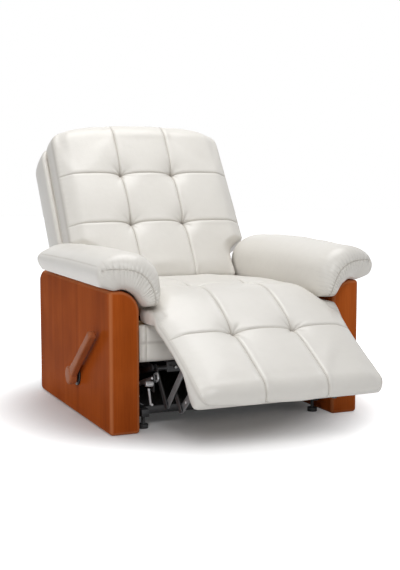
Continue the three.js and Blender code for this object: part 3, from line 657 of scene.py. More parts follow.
@dataclass
class Quilt:
    """Height of a quilted skin over its seam plane, in millimetres."""

    columns: Sequence[float]
    rows: Sequence[float]
    crown: float
    tufts: Sequence[tuple[float, float]]
    seam_share: float = 0.72
    groove: float = 3.6
    groove_width: float = 3.6
    tuft_reach: float = 31.0
    tuft_depth: float = 8.0
    pucker: float = 8.0
    pucker_reach: float = 29.0
    border_gather: float = 0.9
    end_roll: float = 70.0
    seed: float = 0.0

    def fullness(self, place: np.ndarray, edges: Sequence[np.ndarray]) -> np.ndarray:
        """How full each place's cell is, 0 at its edges and 1 in its middle."""
        full = np.zeros_like(place)
        for start, end in zip(edges, edges[1:]):
            share = np.clip((place - start) / (end - start), 0, 1)
            inside = (place >= start) & (place <= end)
            full = np.where(inside, (4 * share * (1 - share)) ** 0.6, full)
        return full

    def seam_distance(self, across: np.ndarray, along: np.ndarray) -> np.ndarray:
        """Distance to the nearest seam."""
        gaps = [np.abs(across - c) for c in self.columns] + [np.abs(along - r) for r in self.rows]
        return np.min(gaps, axis=0)

    def tuft_field(self, across: np.ndarray, along: np.ndarray) -> tuple[np.ndarray, ...]:
        """What the tufts do to the skin.

        Args:
            across: Distances from the middle.
            along: Lengths up the pad.

        Returns:
            How far the skin is drawn down, the pit itself, the folds round it and the painted shade in the
            pit and along the folds.
        """
        pull, pit, folds, crease_shade = (np.zeros_like(across) for _ in range(4))
        for number, (tuft_x, tuft_s) in enumerate(self.tufts):
            dx, ds = across - tuft_x, along - tuft_s
            away = np.hypot(dx, ds)
            angle = np.arctan2(ds, dx)
            pull = np.maximum(pull, np.exp(-((away / self.tuft_reach) ** 1.15)))
            pit = np.maximum(pit, np.exp(-((away / 8.0) ** 1.7)))
            phase = self.seed + number * 2.1
            fine = ((1 - np.cos(11 * angle + phase)) / 2) ** 2.0
            coarse = ((1 - np.cos(7 * angle + 1.7 * phase)) / 2) ** 2.6
            uneven = 0.7 + 0.3 * np.sin(3 * angle + phase)
            near = np.exp(-((away / self.pucker_reach) ** 1.8)) * np.clip((away - 1.0) / 6.0, 0, 1)
            rays = (0.3 * fine + 0.95 * coarse * uneven) * near
            folds -= rays
            # Painted shade in the tuft's pit and along its folds.
            crease_shade = np.maximum(crease_shade, np.exp(-((away / 6.5) ** 2)) + 0.55 * rays)
        return pull, pit, folds, crease_shade

    def height(
        self, across: np.ndarray, along: np.ndarray, half: np.ndarray, low: float, high: float,
        open_end: bool = False,
    ) -> tuple[np.ndarray, np.ndarray]:
        """Height of the skin and the painted shade on it.

        Args:
            across: Distances from the middle.
            along: Lengths up the pad.
            half: The quilting's half-width there.
            low: Where the quilting begins.
            high: Where it ends.
            open_end: The skin stays full at its end and rolls over.

        Returns:
            Heights in millimetres, and painted shade from 0 to 1.
        """
        share = np.clip(np.abs(across) / half, 0, 1)
        edge = (1 - share**3.4) ** 0.5
        start = np.clip((along - low) / self.end_roll, 0, 1)
        ends = np.sqrt(1 - (1 - start) ** 2)
        if not open_end:
            finish = np.clip((high - along) / self.end_roll, 0, 1)
            ends = ends * np.sqrt(1 - (1 - finish) ** 2)
        pull, pit, folds, crease_shade = self.tuft_field(across, along)
        columns = [-half, *[np.full_like(half, c) for c in self.columns], half]
        rows = [low, *self.rows, high + (self.end_roll if open_end else 0)]
        pillow = self.fullness(across, columns) * self.fullness(along, rows)
        full = self.crown * ((1 - self.seam_share) * pillow + self.seam_share) * edge * ends
        distance = self.seam_distance(across, along)
        line = np.exp(-((distance / self.groove_width) ** 1.6))
        heights = full * (1 - pull) - self.groove * line * (1 + 1.2 * pull) * edge**0.3
        heights += self.pucker * folds * edge * (1 - 0.6 * line) - self.tuft_depth * pit
        inward = (1 - share) * half
        ripple = np.sin(along * 0.31 + 2.2 * np.sin(along * 0.037)) * np.sin(along * 0.083 + self.seed)
        heights += self.border_gather * ripple * np.exp(-((inward - 9.0) / 9.0) ** 2) * ends
        # Painted shade along the face's border and over the seams, joined to the tufts' painted shade.
        border = np.exp(-((inward / 2.0) ** 2)) * 0.4
        seams = np.exp(-((distance / 1.25) ** 2)) * (0.62 + 0.4 * pull)
        return heights, np.maximum(np.maximum(crease_shade, seams), border)


@dataclass
class Ring:
    """One section of a pad: a place and two directions in the side view."""

    base: np.ndarray
    normal: np.ndarray
    skin_normal: np.ndarray
    drop: float
    thickness: float
    half: float
    along: float
    sag: float = 0.0
    quilted: float = 0.0
    bow: float = 0.0


class Pad:
    """A closed upholstered pad: a quilted face, a bulged side band and a flat rear."""

    near = (1.3, 3.0, 5.5, 8.5, 12.0, 16.0, 20.5, 25.5)

    def __init__(self, name: str, quilt: Quilt, side_bulge: float = 7.0, spacing: float = 8.0) -> None:
        """Keeps the pad's name, quilting and sampling."""
        self.name = name
        self.quilt = quilt
        self.side_bulge = side_bulge
        self.spacing = spacing
        self.face = np.zeros((0, 0), int)

    def build(self, rings: Sequence[Ring], low: float, high: float, open_end: bool) -> Object:
        """Makes the pad's mesh.

        Args:
            rings: The sections in order.
            low: Where the quilting begins.
            high: Where it ends.
            open_end: The face rolls over at its end.

        Returns:
            The object, in place.
        """
        widest = max(r.half for r in rings)
        columns = [c / widest for c in self.quilt.columns]
        shares = samples([-1, *columns, 1], self.spacing / widest, [n / widest for n in self.near])
        seam_columns = [int(np.argmin(np.abs(shares - c))) for c in columns]
        side = np.linspace(0, 1, 9)[1:-1]
        rear = np.linspace(1, -1, 21)
        points, crease_shades = [], []
        for ring in rings:
            across = shares * ring.half
            for index, seam in zip(seam_columns, self.quilt.columns):
                shift = seam - across[index]
                across = across + shift * np.exp(-((across - seam) / 60.0) ** 2)
            along = np.full_like(across, ring.along)
            quilted = ring.quilted or ring.half
            half = np.full_like(across, quilted)
            heights, crease_shade = self.quilt.height(across, along, half, low, high, open_end)
            sag = ring.sag * smoothstep(np.abs(across), quilted - 60, ring.half)
            heights = heights + ring.bow * (1 - (across / ring.half) ** 2)
            face = self._place(ring, across, heights, sag)
            bulge = self.side_bulge * np.sin(np.pi * side) * min(1.0, ring.thickness / 40.0)
            depth = lerp(ring.sag, ring.thickness, side)
            right = self._place(ring, ring.half + bulge, 0.0, depth)
            bottom = self._place(ring, rear * ring.half, 0.0, ring.thickness)
            left = self._place(ring, -ring.half - bulge[::-1], 0.0, depth[::-1])
            points.append(np.concatenate([face, right, bottom, left]))
            band = np.zeros(len(right) + len(bottom) + len(left))
            crease_shades.append(np.concatenate([crease_shade, band]))
        around = len(points[0])
        made = Piece.lofted(self.name, points)
        # The painted shade for the leather, kept as a mask on the points.
        Piece.mark(made, "crease_shade", np.array(crease_shades))
        self.face = np.arange(len(rings))[:, None] * around + np.arange(len(shares))[None, :]
        self.shares = shares
        self.seam_columns = seam_columns
        self.alongs = np.array([r.along for r in rings])
        return made

    @staticmethod
    def _place(ring: Ring, across: np.ndarray, heights: np.ndarray, depth: np.ndarray) -> np.ndarray:
        """Points of one ring from distances across, out from the skin and down into the pad.

        Args:
            ring: The ring.
            across: Distances from the middle.
            heights: Distances out of the skin.
            depth: Distances down into the pad.

        Returns:
            The points.
        """
        across, heights, depth = np.broadcast_arrays(
            np.asarray(across, float), np.asarray(heights, float), np.asarray(depth, float)
        )
        side_view = (
            ring.base[None, :]
            - ring.normal[None, :] * (ring.drop + depth)[:, None]
            + ring.skin_normal[None, :] * heights[:, None]
        )
        return np.column_stack([across, side_view])

    def free_skin(self, made: Object) -> np.ndarray:
        """How free each point is to swell: 1 in the cells, 0 at seams, sides and the rear.

        Args:
            made: The pad.

        Returns:
            How free each point is, from 0 to 1.
        """
        free = np.zeros(len(made.data.vertices))
        shares = self.shares
        for row, along in zip(self.face, self.alongs):
            gaps = [np.abs(shares - shares[c]) * 300 for c in self.seam_columns]
            gaps += [np.abs(along - r) for r in self.quilt.rows if abs(along - r) < 40]
            edge = (1 - np.abs(shares)) * 300
            nearest = np.min([np.broadcast_to(g, shares.shape) for g in [*gaps, edge]], axis=0)
            free[row] = smoothstep(nearest, 2.0, 22.0)
        return free

    def stitch_lines(self, made: Object, along: slice, border: slice | None = None) -> list[np.ndarray]:
        """Rows of stitches beside the seams.

        Args:
            made: The pad.
            along: Which rings the long seams' stitches cover.
            border: Which rings the borders' stitches cover; without it only the long seams are stitched.

        Returns:
            The rows, as points in metres.
        """
        lines = [skin_line(made, self.face[along, c + a]) for c, a in zip(self.seam_columns, (-2, 2))]
        if border is None:
            return lines
        for row in self.quilt.rows:
            ring = int(np.argmin(np.abs(self.alongs - row)))
            lines.append(skin_line(made, self.face[ring + 2, 1:-1]))
        lines += [skin_line(made, self.face[border, column]) for column in (1, -2)]
        return lines


@dataclass(frozen=True)
class Stuffing:
    """Inside pressure that swells a pad's cells by a few millimetres, found with a cloth simulation."""

    pressure: float = 3.0
    cap: float = 0.007
    frames: int = 20
    rounds: int = 10
    levels: int = 10
    mass: float = 0.25
    stretch: float = 20.0
    shear: float = 12.0
    bending: float = 4.0
    shrink: float = 0.004
    hold: float = 3.0

    def swell(self, made: Object, free: np.ndarray) -> None:
        """Lets cloth under pressure settle over the pad, then keeps what it moved, up to a cap.

        Args:
            made: The pad.
            free: How free each point is, from 0 to 1.
        """
        rest = np.array([v.co for v in made.data.vertices])
        self._hold(made, free)
        step = made.modifiers.new("cloth", "CLOTH")
        cloth = step.settings
        cloth.quality = 5
        cloth.mass = self.mass
        cloth.tension_stiffness = self.stretch
        cloth.compression_stiffness = self.stretch
        cloth.shear_stiffness = self.shear
        cloth.bending_stiffness = self.bending
        cloth.use_pressure = True
        cloth.uniform_pressure_force = self.pressure
        cloth.shrink_min = self.shrink
        cloth.vertex_group_mass = "held"
        cloth.pin_stiffness = self.hold
        cloth.effector_weights.gravity = 0
        step.point_cache.frame_start = 1
        step.point_cache.frame_end = self.frames
        scene = bpy.context.scene
        for number in range(1, self.frames + 1):
            scene.frame_set(number)
        evaluated = made.evaluated_get(bpy.context.evaluated_depsgraph_get())
        moved = np.array([v.co for v in evaluated.data.vertices])
        made.modifiers.clear()
        made.vertex_groups.clear()
        scene.frame_set(1)
        shift = self._eased(made, moved - rest)
        length = np.linalg.norm(shift, axis=1, keepdims=True)
        share = self.cap * np.tanh(length / self.cap) / np.maximum(length, 1e-9) * free[:, None]
        made.data.vertices.foreach_set("co", (rest + shift * share).astype(np.float32).ravel())
        made.data.update()
        LOG.info("%s: cloth moved up to %.1f mm", made.name, float(length.max()) / MM)

    def _hold(self, made: Object, free: np.ndarray) -> None:
        """Holds the pad's points by how little they are free.

        Args:
            made: The pad.
            free: How free each point is, from 0 to 1.
        """
        group = made.vertex_groups.new(name="held")
        for level in range(1, self.levels + 1):
            members = np.nonzero(np.round((1 - free) * self.levels) == level)[0].tolist()
            if members:
                group.add(members, level / self.levels, "REPLACE")

    def _eased(self, made: Object, shift: np.ndarray) -> np.ndarray:
        """Spreads each point's move to its neighbours, so that only broad forms are left.

        Args:
            made: The pad.
            shift: How far each point moves.

        Returns:
            The smoother moves.
        """
        ends = np.zeros(len(made.data.edges) * 2, int)
        made.data.edges.foreach_get("vertices", ends)
        pairs = ends.reshape(-1, 2)
        one, other = np.concatenate([pairs, pairs[:, ::-1]]).T
        count = np.bincount(one, minlength=len(shift))[:, None]
        for _ in range(self.rounds):
            total = [np.bincount(one, shift[other, axis], len(shift)) for axis in range(3)]
            shift = 0.5 * shift + 0.5 * np.column_stack(total) / np.maximum(count, 1)
        return shift


class Repeat:
    """A Geometry Nodes tree that sets a small shape at places, with named inputs for its sizes."""

    def __init__(self, name: str, sizes: dict[str, str]) -> None:
        """Opens the tree.

        Args:
            name: The tree's name.
            sizes: The kind of each named input.
        """
        self.tree = bpy.data.node_groups.new(name, "GeometryNodeTree")
        face = self.tree.interface
        face.new_socket("Geometry", in_out="INPUT", socket_type="NodeSocketGeometry")
        self.sizes = {}
        for label, kind in sizes.items():
            made = face.new_socket(label, in_out="INPUT", socket_type=kind)
            self.sizes[label] = made.identifier
        face.new_socket("Geometry", in_out="OUTPUT", socket_type="NodeSocketGeometry")
        self.start = self.add("NodeGroupInput")
        self.spread = self.add("GeometryNodeInstanceOnPoints")
        self.link = self.tree.links.new

    def add(self, kind: str, **settings: object) -> Node:
        """Adds a node.

        Args:
            kind: The node's type.
            settings: Its own settings.

        Returns:
            The node.
        """
        made = self.tree.nodes.new(kind)
        for key, value in settings.items():
            setattr(made, key, value)
        return made

    def ball(self, segments: int, rings: int) -> Node:
        """Adds a ball.

        Args:
            segments: Faces around it.
            rings: Faces from pole to pole.

        Returns:
            The node.
        """
        made = self.add("GeometryNodeMeshUVSphere")
        made.inputs["Segments"].default_value = segments
        made.inputs["Rings"].default_value = rings
        made.inputs["Radius"].default_value = 1.0
        return made

    def close(self, material: Material) -> None:
        """Ends the tree in real, dressed geometry.

        Args:
            material: The shapes' material.
        """
        last = self.spread
        for kind in ("GeometryNodeRealizeInstances", "GeometryNodeSetMaterial", "NodeGroupOutput"):
            made = self.add(kind)
            self.link(last.outputs[0], made.inputs[0])
            last = made
            if kind == "GeometryNodeSetMaterial":
                made.inputs["Material"].default_value = material

    def apply(self, made: Object, slot: Slot, **sizes: object) -> Object:
        """Runs the tree on an object and turns the result into plain mesh.

        Args:
            made: The object, whose points or lines say where the shapes go.
            slot: The material slot; not used.
            sizes: The named inputs.

        Returns:
            The object.
        """
        step = made.modifiers.new("repeat", "NODES")
        step.node_group = self.tree
        for label, value in sizes.items():
            step[self.sizes[label]] = value
        Piece.settled(made)
        return made


class Stitcher:
    """Lays rows of thread beside seams with one Geometry Nodes tree."""

    thread: float = 0.55
    stitch_share: float = 0.33

    def __init__(self, material: Material) -> None:
        """Builds the tree.

        Args:
            material: The thread's material.
        """
        number = "NodeSocketFloat"
        repeat = Repeat("stitch_row", {"Pitch": number, "Stitch": number, "Thread": number})
        line = repeat.add("GeometryNodeMeshToCurve")
        spaced = repeat.add("GeometryNodeResampleCurve", mode="LENGTH")
        bead = repeat.ball(6, 4)
        shaped = repeat.add("GeometryNodeTransform")
        tangent = repeat.add("GeometryNodeInputTangent")
        turned = repeat.add("FunctionNodeAlignRotationToVector", axis="Z")
        size = repeat.add("ShaderNodeCombineXYZ")
        sources = repeat.start.outputs
        places = repeat.spread.inputs
        repeat.link(sources[0], line.inputs[0])
        repeat.link(line.outputs[0], spaced.inputs[0])
        repeat.link(sources["Pitch"], spaced.inputs["Length"])
        for axis, label in enumerate(("Thread", "Thread", "Stitch")):
            repeat.link(sources[label], size.inputs[axis])
        repeat.link(bead.outputs[0], shaped.inputs[0])
        repeat.link(size.outputs[0], shaped.inputs["Scale"])
        repeat.link(spaced.outputs[0], places["Points"])
        repeat.link(shaped.outputs[0], places["Instance"])
        repeat.link(tangent.outputs[0], turned.inputs["Vector"])
        repeat.link(turned.outputs[0], places["Rotation"])
        repeat.close(material)
        self.repeat = repeat

    def rows(self, name: str, lines: Sequence[np.ndarray], pitch: float = 7.0) -> Object:
        """Stitches along several lines, as one piece.

        Args:
            name: The piece's name.
            lines: Points in metres, one array for each row of stitches.
            pitch: Millimetres from stitch to stitch.

        Returns:
            The piece, as plain mesh.
        """
        points = np.concatenate(lines)
        edges, start = [], 0
        for line in lines:
            edges += [(start + i, start + i + 1) for i in range(len(line) - 1)]
            start += len(line)
        data = bpy.data.meshes.new(name)
        data.from_pydata([tuple(p) for p in points], edges, [])
        stitch = pitch * self.stitch_share * MM
        made = Piece.linked(data)
        return self.repeat.apply(
            made, Slot.LEATHER, Pitch=pitch * MM, Stitch=stitch, Thread=self.thread * MM
        )


def skin_line(made: Object, indices: np.ndarray, lift: float = 0.5) -> np.ndarray:
    """Points of the mesh, lifted a little off its skin.

    Args:
        made: The pad.
        indices: The points' numbers, in order.
        lift: Millimetres above the skin.

    Returns:
        The points in metres.
    """
    vertices = made.data.vertices
    return np.array([vertices[int(i)].co + vertices[int(i)].normal * lift * MM for i in indices])


@dataclass
class SeatAndChaise:
    """The seat cushion and the footrest pad, sewn as one quilted skin across the fold."""

    seat_half: float = 283.0
    chaise_half: float = 313.0
    border_drop: float = 12.0
    shoulder_half: float = 328.0
    shoulder_level: float = 396.0
    quilted_half: float = 290.0
    rear_round: float = 14.0
    bend_start: tuple = (0.0, -418.0, 400.0)
    bend_end: tuple = (0.0, -575.0, 330.0)
    rear_y: float = 188.0
    rear_z: float = 425.0
    tuft_y: float = -240.0
    tuft_z: float = 437.0
    knee_y: float = -385.0
    knee_z: float = 426.0
    fold_y: float = -502.0
    fold_z: float = 386.0
    tilt: float = radians(30)
    seam_drop: float = 17.4
    length: float = 352.0
    boxing: float = 32.0
    tuft_along: float = 80.0
    column: float = 105.0
    crown: float = 25.0
    seat_floor: float = 350.2
    roll: float = 36.0
    corner: float = 26.0
    swell_from: float = 110.0

    def on_chaise(self, along: float, out: float) -> tuple[float, float]:
        """A point (y, z) from its place along and out of the tilted pad."""
        y = self.fold_y - along * cos(self.tilt) - out * sin(self.tilt)
        z = self.fold_z - along * sin(self.tilt) + out * cos(self.tilt)
        return y, z

    def seam_line(self) -> SideCurve:
        """The seam level of seat, fold and chaise, seen from the side."""
        middle_z = (self.rear_z + self.tuft_z) / 2 + 2
        points = [
            (self.rear_y, self.rear_z),
            ((self.rear_y + self.tuft_y) / 2, middle_z),
            (self.tuft_y, self.tuft_z),
            (self.knee_y, self.knee_z),
        ]
        points += [self.on_chaise(self.length * s, -self.seam_drop) for s in (0.06, 0.24, 0.5, 0.76, 1)]
        return SideCurve(points)

    def rings(self, curve: SideCurve, rows: Sequence[float]) -> list[Ring]:
        """The pad's sections from the seat's rear to the rolled tip.

        Args:
            curve: The pad's face in the side view.
            rows: Where the cross seams lie along it.

        Returns:
            The sections.
        """
        last = curve.length - self.roll
        alongs = samples([0, *rows, last], 8.0, Pad.near)
        rings = []
        for turn in (82, 62, 40, 18):
            angle = radians(turn)
            inset = self.rear_round * (1 - cos(angle))
            rings.append(self._seat_ring(curve, 0.0, inset, -self.rear_round * sin(angle)))
        rings += [self._seat_ring(curve, along, 0.0, 0.0) for along in alongs]
        for turn in (9, 20, 31, 42, 53, 63, 72, 80, 86):
            rings.append(self._tip_ring(curve, last, radians(turn)))
        return rings

    def _half_at(self, y: float) -> float:
        """The pad's half-width: narrow between the arms, wide under their fronts, then the chaise's own."""
        widths = (
            (-800.0, self.chaise_half), (-667.0, self.chaise_half), (-597.0, self.chaise_half + 2),
            (-545.0, self.chaise_half + 6), (-500.0, self.chaise_half + 12), (-462.0, self.shoulder_half - 3),
            (-440.0, self.shoulder_half), (-350.0, self.shoulder_half), (-300.0, self.seat_half),
        )
        return float(np.interp(y, *zip(*widths)))

    def _seat_ring(self, curve: SideCurve, along: float, inset: float, beyond: float) -> Ring:
        """A section of the seat or of the straight chaise.

        Args:
            curve: The pad's face in the side view.
            along: Where the section lies along it.
            inset: How far the section is drawn in.
            beyond: How far behind its place it stands.

        Returns:
            The section.
        """
        (y, z), (dy, dz) = curve.at(along), curve.direction(along)
        upright = float(1 - smoothstep(-y, -self.knee_y + 20, -self.fold_y + 10))
        square = np.array([dz, -dy])
        normal = square * (1 - upright) + np.array([0.0, 1.0]) * upright
        normal /= np.linalg.norm(normal)
        thin = float(smoothstep(-y, 438, 505))
        left = curve.length - self.roll - along
        swell = float(smoothstep(self.swell_from - left, 0, self.swell_from))
        chaise = lerp(self.boxing, self.roll * 2, swell)
        thickness = lerp(max(z - self.seat_floor, 30.0), chaise, thin)
        half = self._half_at(y)
        free = float(smoothstep(-y, 462, 512))
        sag = lerp(max(z - self.shoulder_level, 0.0), self.border_drop, free)
        quilted = lerp(min(half, self.quilted_half), half, free)
        base = np.array([y - beyond, z])
        thickness -= 2 * inset
        return Ring(base, normal, normal, inset, thickness, half - inset, along, sag, quilted - inset)

    def _tip_ring(self, curve: SideCurve, last: float, angle: float) -> Ring:
        """A section of the rolled tip.

        Args:
            curve: The pad's face in the side view.
            last: Where the roll starts along it.
            angle: How far the roll has turned, in radians.

        Returns:
            The section.
        """
        base, way = curve.at(last), curve.direction(last)
        normal = np.array([way[1], -way[0]])
        drop = self.roll * (1 - cos(angle))
        base = base + way * self.roll * sin(angle)
        skin = normal * cos(angle) + way * sin(angle)
        half = self.chaise_half - self.corner * (1 - cos(angle)) ** 1.3
        thickness = self.roll * 2 - 2 * drop
        sag = self.border_drop * thickness / (self.roll * 2)
        return Ring(base, normal, skin, drop, thickness, half, last + self.roll * angle, sag)

    def build(self, finishes: Finishes) -> None:
        """Makes the pad and its stitches.

        Args:
            finishes: The materials.
        """
        curve = self.seam_line()
        rows = [
            curve.length_at_y(self.tuft_y),
            curve.length_at_y(self.on_chaise(self.tuft_along, -self.seam_drop)[0]),
        ]
        tufts = [(sign * self.column, row) for row in rows for sign in (-1, 1)]
        quilt = Quilt((-self.column, self.column), rows, self.crown, tufts, seed=0.7)
        pad = Pad("seat_and_chaise", quilt, side_bulge=5.0)
        rings = self.rings(curve, rows)
        made = pad.build(rings, 0.0, curve.length, open_end=True)
        Stuffing().swell(made, pad.free_skin(made))
        seams = pad.stitch_lines(made, slice(4, -1), slice(4, -1))
        Piece.subdivided(made)
        Piece.dressed(
            made, finishes.leather, Slot.LEATHER, ("seat_cushion", "chaise_bridge", "footrest_pad")
        )
        thread = finishes.stitcher.rows("seat_stitches", seams)
        start = placed(np.array(self.bend_start))
        end = placed(np.array(self.bend_end))
        for piece in (made, thread):
            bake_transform(piece)


@dataclass
class Back:
    """The tilted back: a quilted cushion whose ears stand over the arms, and a padded rear shell."""

    crease_y: float = 215.0
    crease_z: float = 425.0
    tilt: float = radians(32.8)
    length: float = 680.0
    thickness: float = 135.0
    ear_half: float = 358.0
    top_half: float = 352.0
    border_drop: float = 19.0
    ear_start: float = 163.0
    hug: tuple = (
        (0.0, 279.0), (62.0, 278.0), (105.0, 284.0), (128.0, 294.0), (143.0, 307.0), (156.0, 326.0),
        (167.0, 347.0),
    )
    rows: tuple = (242.0, 461.0)
    column: float = 107.0
    crown: float = 31.0
    corner: float = 64.0
    roll: float = 62.0
    bow: float = 13.0
    foot_round: float = 14.0
    shell_out: float = -149.6
    shell_rim: float = 67.0
    shell_depth: float = 60.0
    shell_half: float = 383.0
    shell_top: float = 655.0
    shell_foot: float = -60.0
    shell_waist: float = 338.0
    shell_wall: float = 24.0
    shell_edge: float = 14.0
    shell_lip: float = 12.0
    shell_round: float = 66.0

    def on_back(self, up: float, out: float) -> np.ndarray:
        """A point (y, z) from its place up and out of the back's face."""
        y = self.crease_y + up * sin(self.tilt) - out * cos(self.tilt)
        z = self.crease_z + up * cos(self.tilt) + out * sin(self.tilt)
        return np.array([y, z])

    @property
    def facing(self) -> np.ndarray:
        """The way that the back's face looks, in the side view."""
        return np.array([-cos(self.tilt), sin(self.tilt)])

    @property
    def upward(self) -> np.ndarray:
        """The way up the back's face, in the side view."""
        return np.array([sin(self.tilt), cos(self.tilt)])

    def half_at(self, up: float) -> float:
        """The cushion's half-width: a waist between the arms, ears over them, round corners at the top.

        Args:
            up: How far up the back.

        Returns:
            Millimetres from the middle.
        """
        ears = lerp(self.ear_half, self.top_half, (up - self.ear_start) / (self.length - self.ear_start))
        wide = ears if up > self.hug[-1][0] + 4 else min(ears, float(np.interp(up, *zip(*self.hug))))
        into = up - (self.length - self.corner)
        if into <= 0:
            return wide
        return wide - self.corner + sqrt(max(self.corner**2 - into**2, 0.0))

    def _ring(self, up: float, drop: float, half: float) -> Ring:
        """A flat section of the cushion.

        Args:
            up: How far up the back it lies.
            drop: How far its face lies behind the cushion's.
            half: Its half-width.

        Returns:
            The section.
        """
        thickness = self.thickness - 2 * drop
        return Ring(self.on_back(up, 0), self.facing, self.facing, drop, thickness, half, up)

    def cushion_rings(self) -> list[Ring]:
        """The cushion's sections from the crease to its rolled top."""
        last = self.length - self.roll
        alongs = samples([self.foot_round, *self.rows, last], 8.0, Pad.near)
        rings = []
        for turn in (80, 55, 28):
            angle = radians(turn)
            drop = self.foot_round * (1 - cos(angle))
            up = self.foot_round - self.foot_round * sin(angle)
            rings.append(self._ring(up, drop, self.half_at(up) - drop))
        rings += [self._ring(up, 0.0, self.half_at(up)) for up in alongs]
        for turn in (8, 17, 26, 35, 44, 53, 62, 70, 78, 85):
            angle = radians(turn)
            up = last + self.roll * sin(angle)
            drop = self.roll * (1 - cos(angle))
            skin = self.facing * cos(angle) + self.upward * sin(angle)
            thickness = self.thickness - 2 * drop * self.thickness / (2 * self.roll)
            along = last + self.roll * angle
            ring = Ring(self.on_back(up, 0), self.facing, skin, drop, thickness, self.half_at(up), along)
            ring.bow = self.bow * sin(angle)
            rings.append(ring)
        for ring in rings:
            droop = float(smoothstep(ring.along, 20, 150))
            ring.sag = self.border_drop * ring.thickness / self.thickness * droop
        return rings

    def cushion(self, finishes: Finishes) -> None:
        """Makes the quilted cushion and its stitches.

        Args:
            finishes: The materials.
        """
        tufts = [(sign * self.column, row) for row in self.rows for sign in (-1, 1)]
        quilt = Quilt((-self.column, self.column), self.rows, self.crown, tufts, seed=2.9)
        pad = Pad("back_quilt", quilt, side_bulge=7.0)
        made = pad.build(self.cushion_rings(), 0.0, self.length, open_end=True)
        Stuffing().swell(made, pad.free_skin(made))
        lines = pad.stitch_lines(made, slice(3, -1), slice(40, -6))
        Piece.subdivided(made)
        Piece.dressed(made, finishes.leather, Slot.LEATHER, ("back_cushion",))
        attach(made, "backrest")
        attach(finishes.stitcher.rows("back_stitches", lines), "backrest")

    def shell_section(self, half: float, reach: float) -> np.ndarray:
        """The shell's section: a crowned rear and a rim that wraps forward.

        Args:
            half: The shell's half-width.
            reach: How far the rim stands forward of the shell's front.

        Returns:
            Points across and out of the back's face.
        """
        front, rim, rear = self.shell_out, self.shell_out + reach, self.shell_out - self.shell_depth
        wall, edge, lip = self.shell_wall, self.shell_edge, self.shell_lip
        points = []
        for share in np.linspace(-1, 1, 41):
            points.append((share * (half - edge), rear - 9 * (1 - abs(share) ** 3)))
        for turn in np.radians(np.linspace(-70, 0, 5)):
            points.append((half - edge + edge * cos(turn), rear + edge + edge * sin(turn)))
        points += [(half + 2.5, lerp(rear + edge, rim - lip, s)) for s in (0.3, 0.5, 0.7)]
        for turn in np.radians(np.linspace(0, 180, 8)):
            points.append((half - wall / 2 + wall / 2 * cos(turn), rim - lip + lip * sin(turn)))
        points.append((half - wall, lerp(front, rim - lip, 0.5)))
        points.append((half - wall, front))
        points += [(share * (half - wall - 4), front) for share in np.linspace(1, -1, 9)]
        mirrored = [(-x, out) for x, out in points[41:59][::-1]]
        return np.array(points + mirrored)

    def shell(self, finishes: Finishes) -> None:
        """Makes the padded rear shell.

        Args:
            finishes: The materials.
        """
        bend = self.shell_round
        ups = np.concatenate([
            self.shell_foot + np.array([0, 3, 9, 18.0]),
            np.arange(self.shell_foot + 30, self.shell_top - bend, 14),
            self.shell_top - bend * (1 - np.sin(np.radians([0, 16, 32, 48, 62, 74, 84, 89]))),
        ])
        rings = []
        for up in ups:
            foot = np.clip((up - self.shell_foot) / 18.0, 0, 1)
            into = np.clip((up - (self.shell_top - bend)) / bend, 0, 1)
            flare = float(smoothstep(up, 176, 204))
            half = lerp(self.shell_waist, self.shell_half, flare)
            half -= bend * (1 - sqrt(max(1 - into**2, 0)))
            reach = lerp(30.0, self.shell_rim, float(smoothstep(up, 140, 190)))
            section = self.shell_section(half, reach)
            middle = self.shell_out - self.shell_depth / 2
            squeeze = max(0.12, min(sqrt(1 - (1 - foot) ** 2), sqrt(max(1 - into**6, 0.0))))
            outs = middle + (section[:, 1] - middle) * squeeze
            places = np.array([self.on_back(float(up), float(out)) for out in outs])
            rings.append(np.column_stack([section[:, 0], places]))
        made = Piece.lofted("rear_shell", rings)
        Piece.mark(made, "crease_shade", np.zeros(len(made.data.vertices)))
        Piece.subdivided(made)
        Piece.dressed(made, finishes.leather, Slot.LEATHER, ("back_shell",))
        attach(made, "backrest")


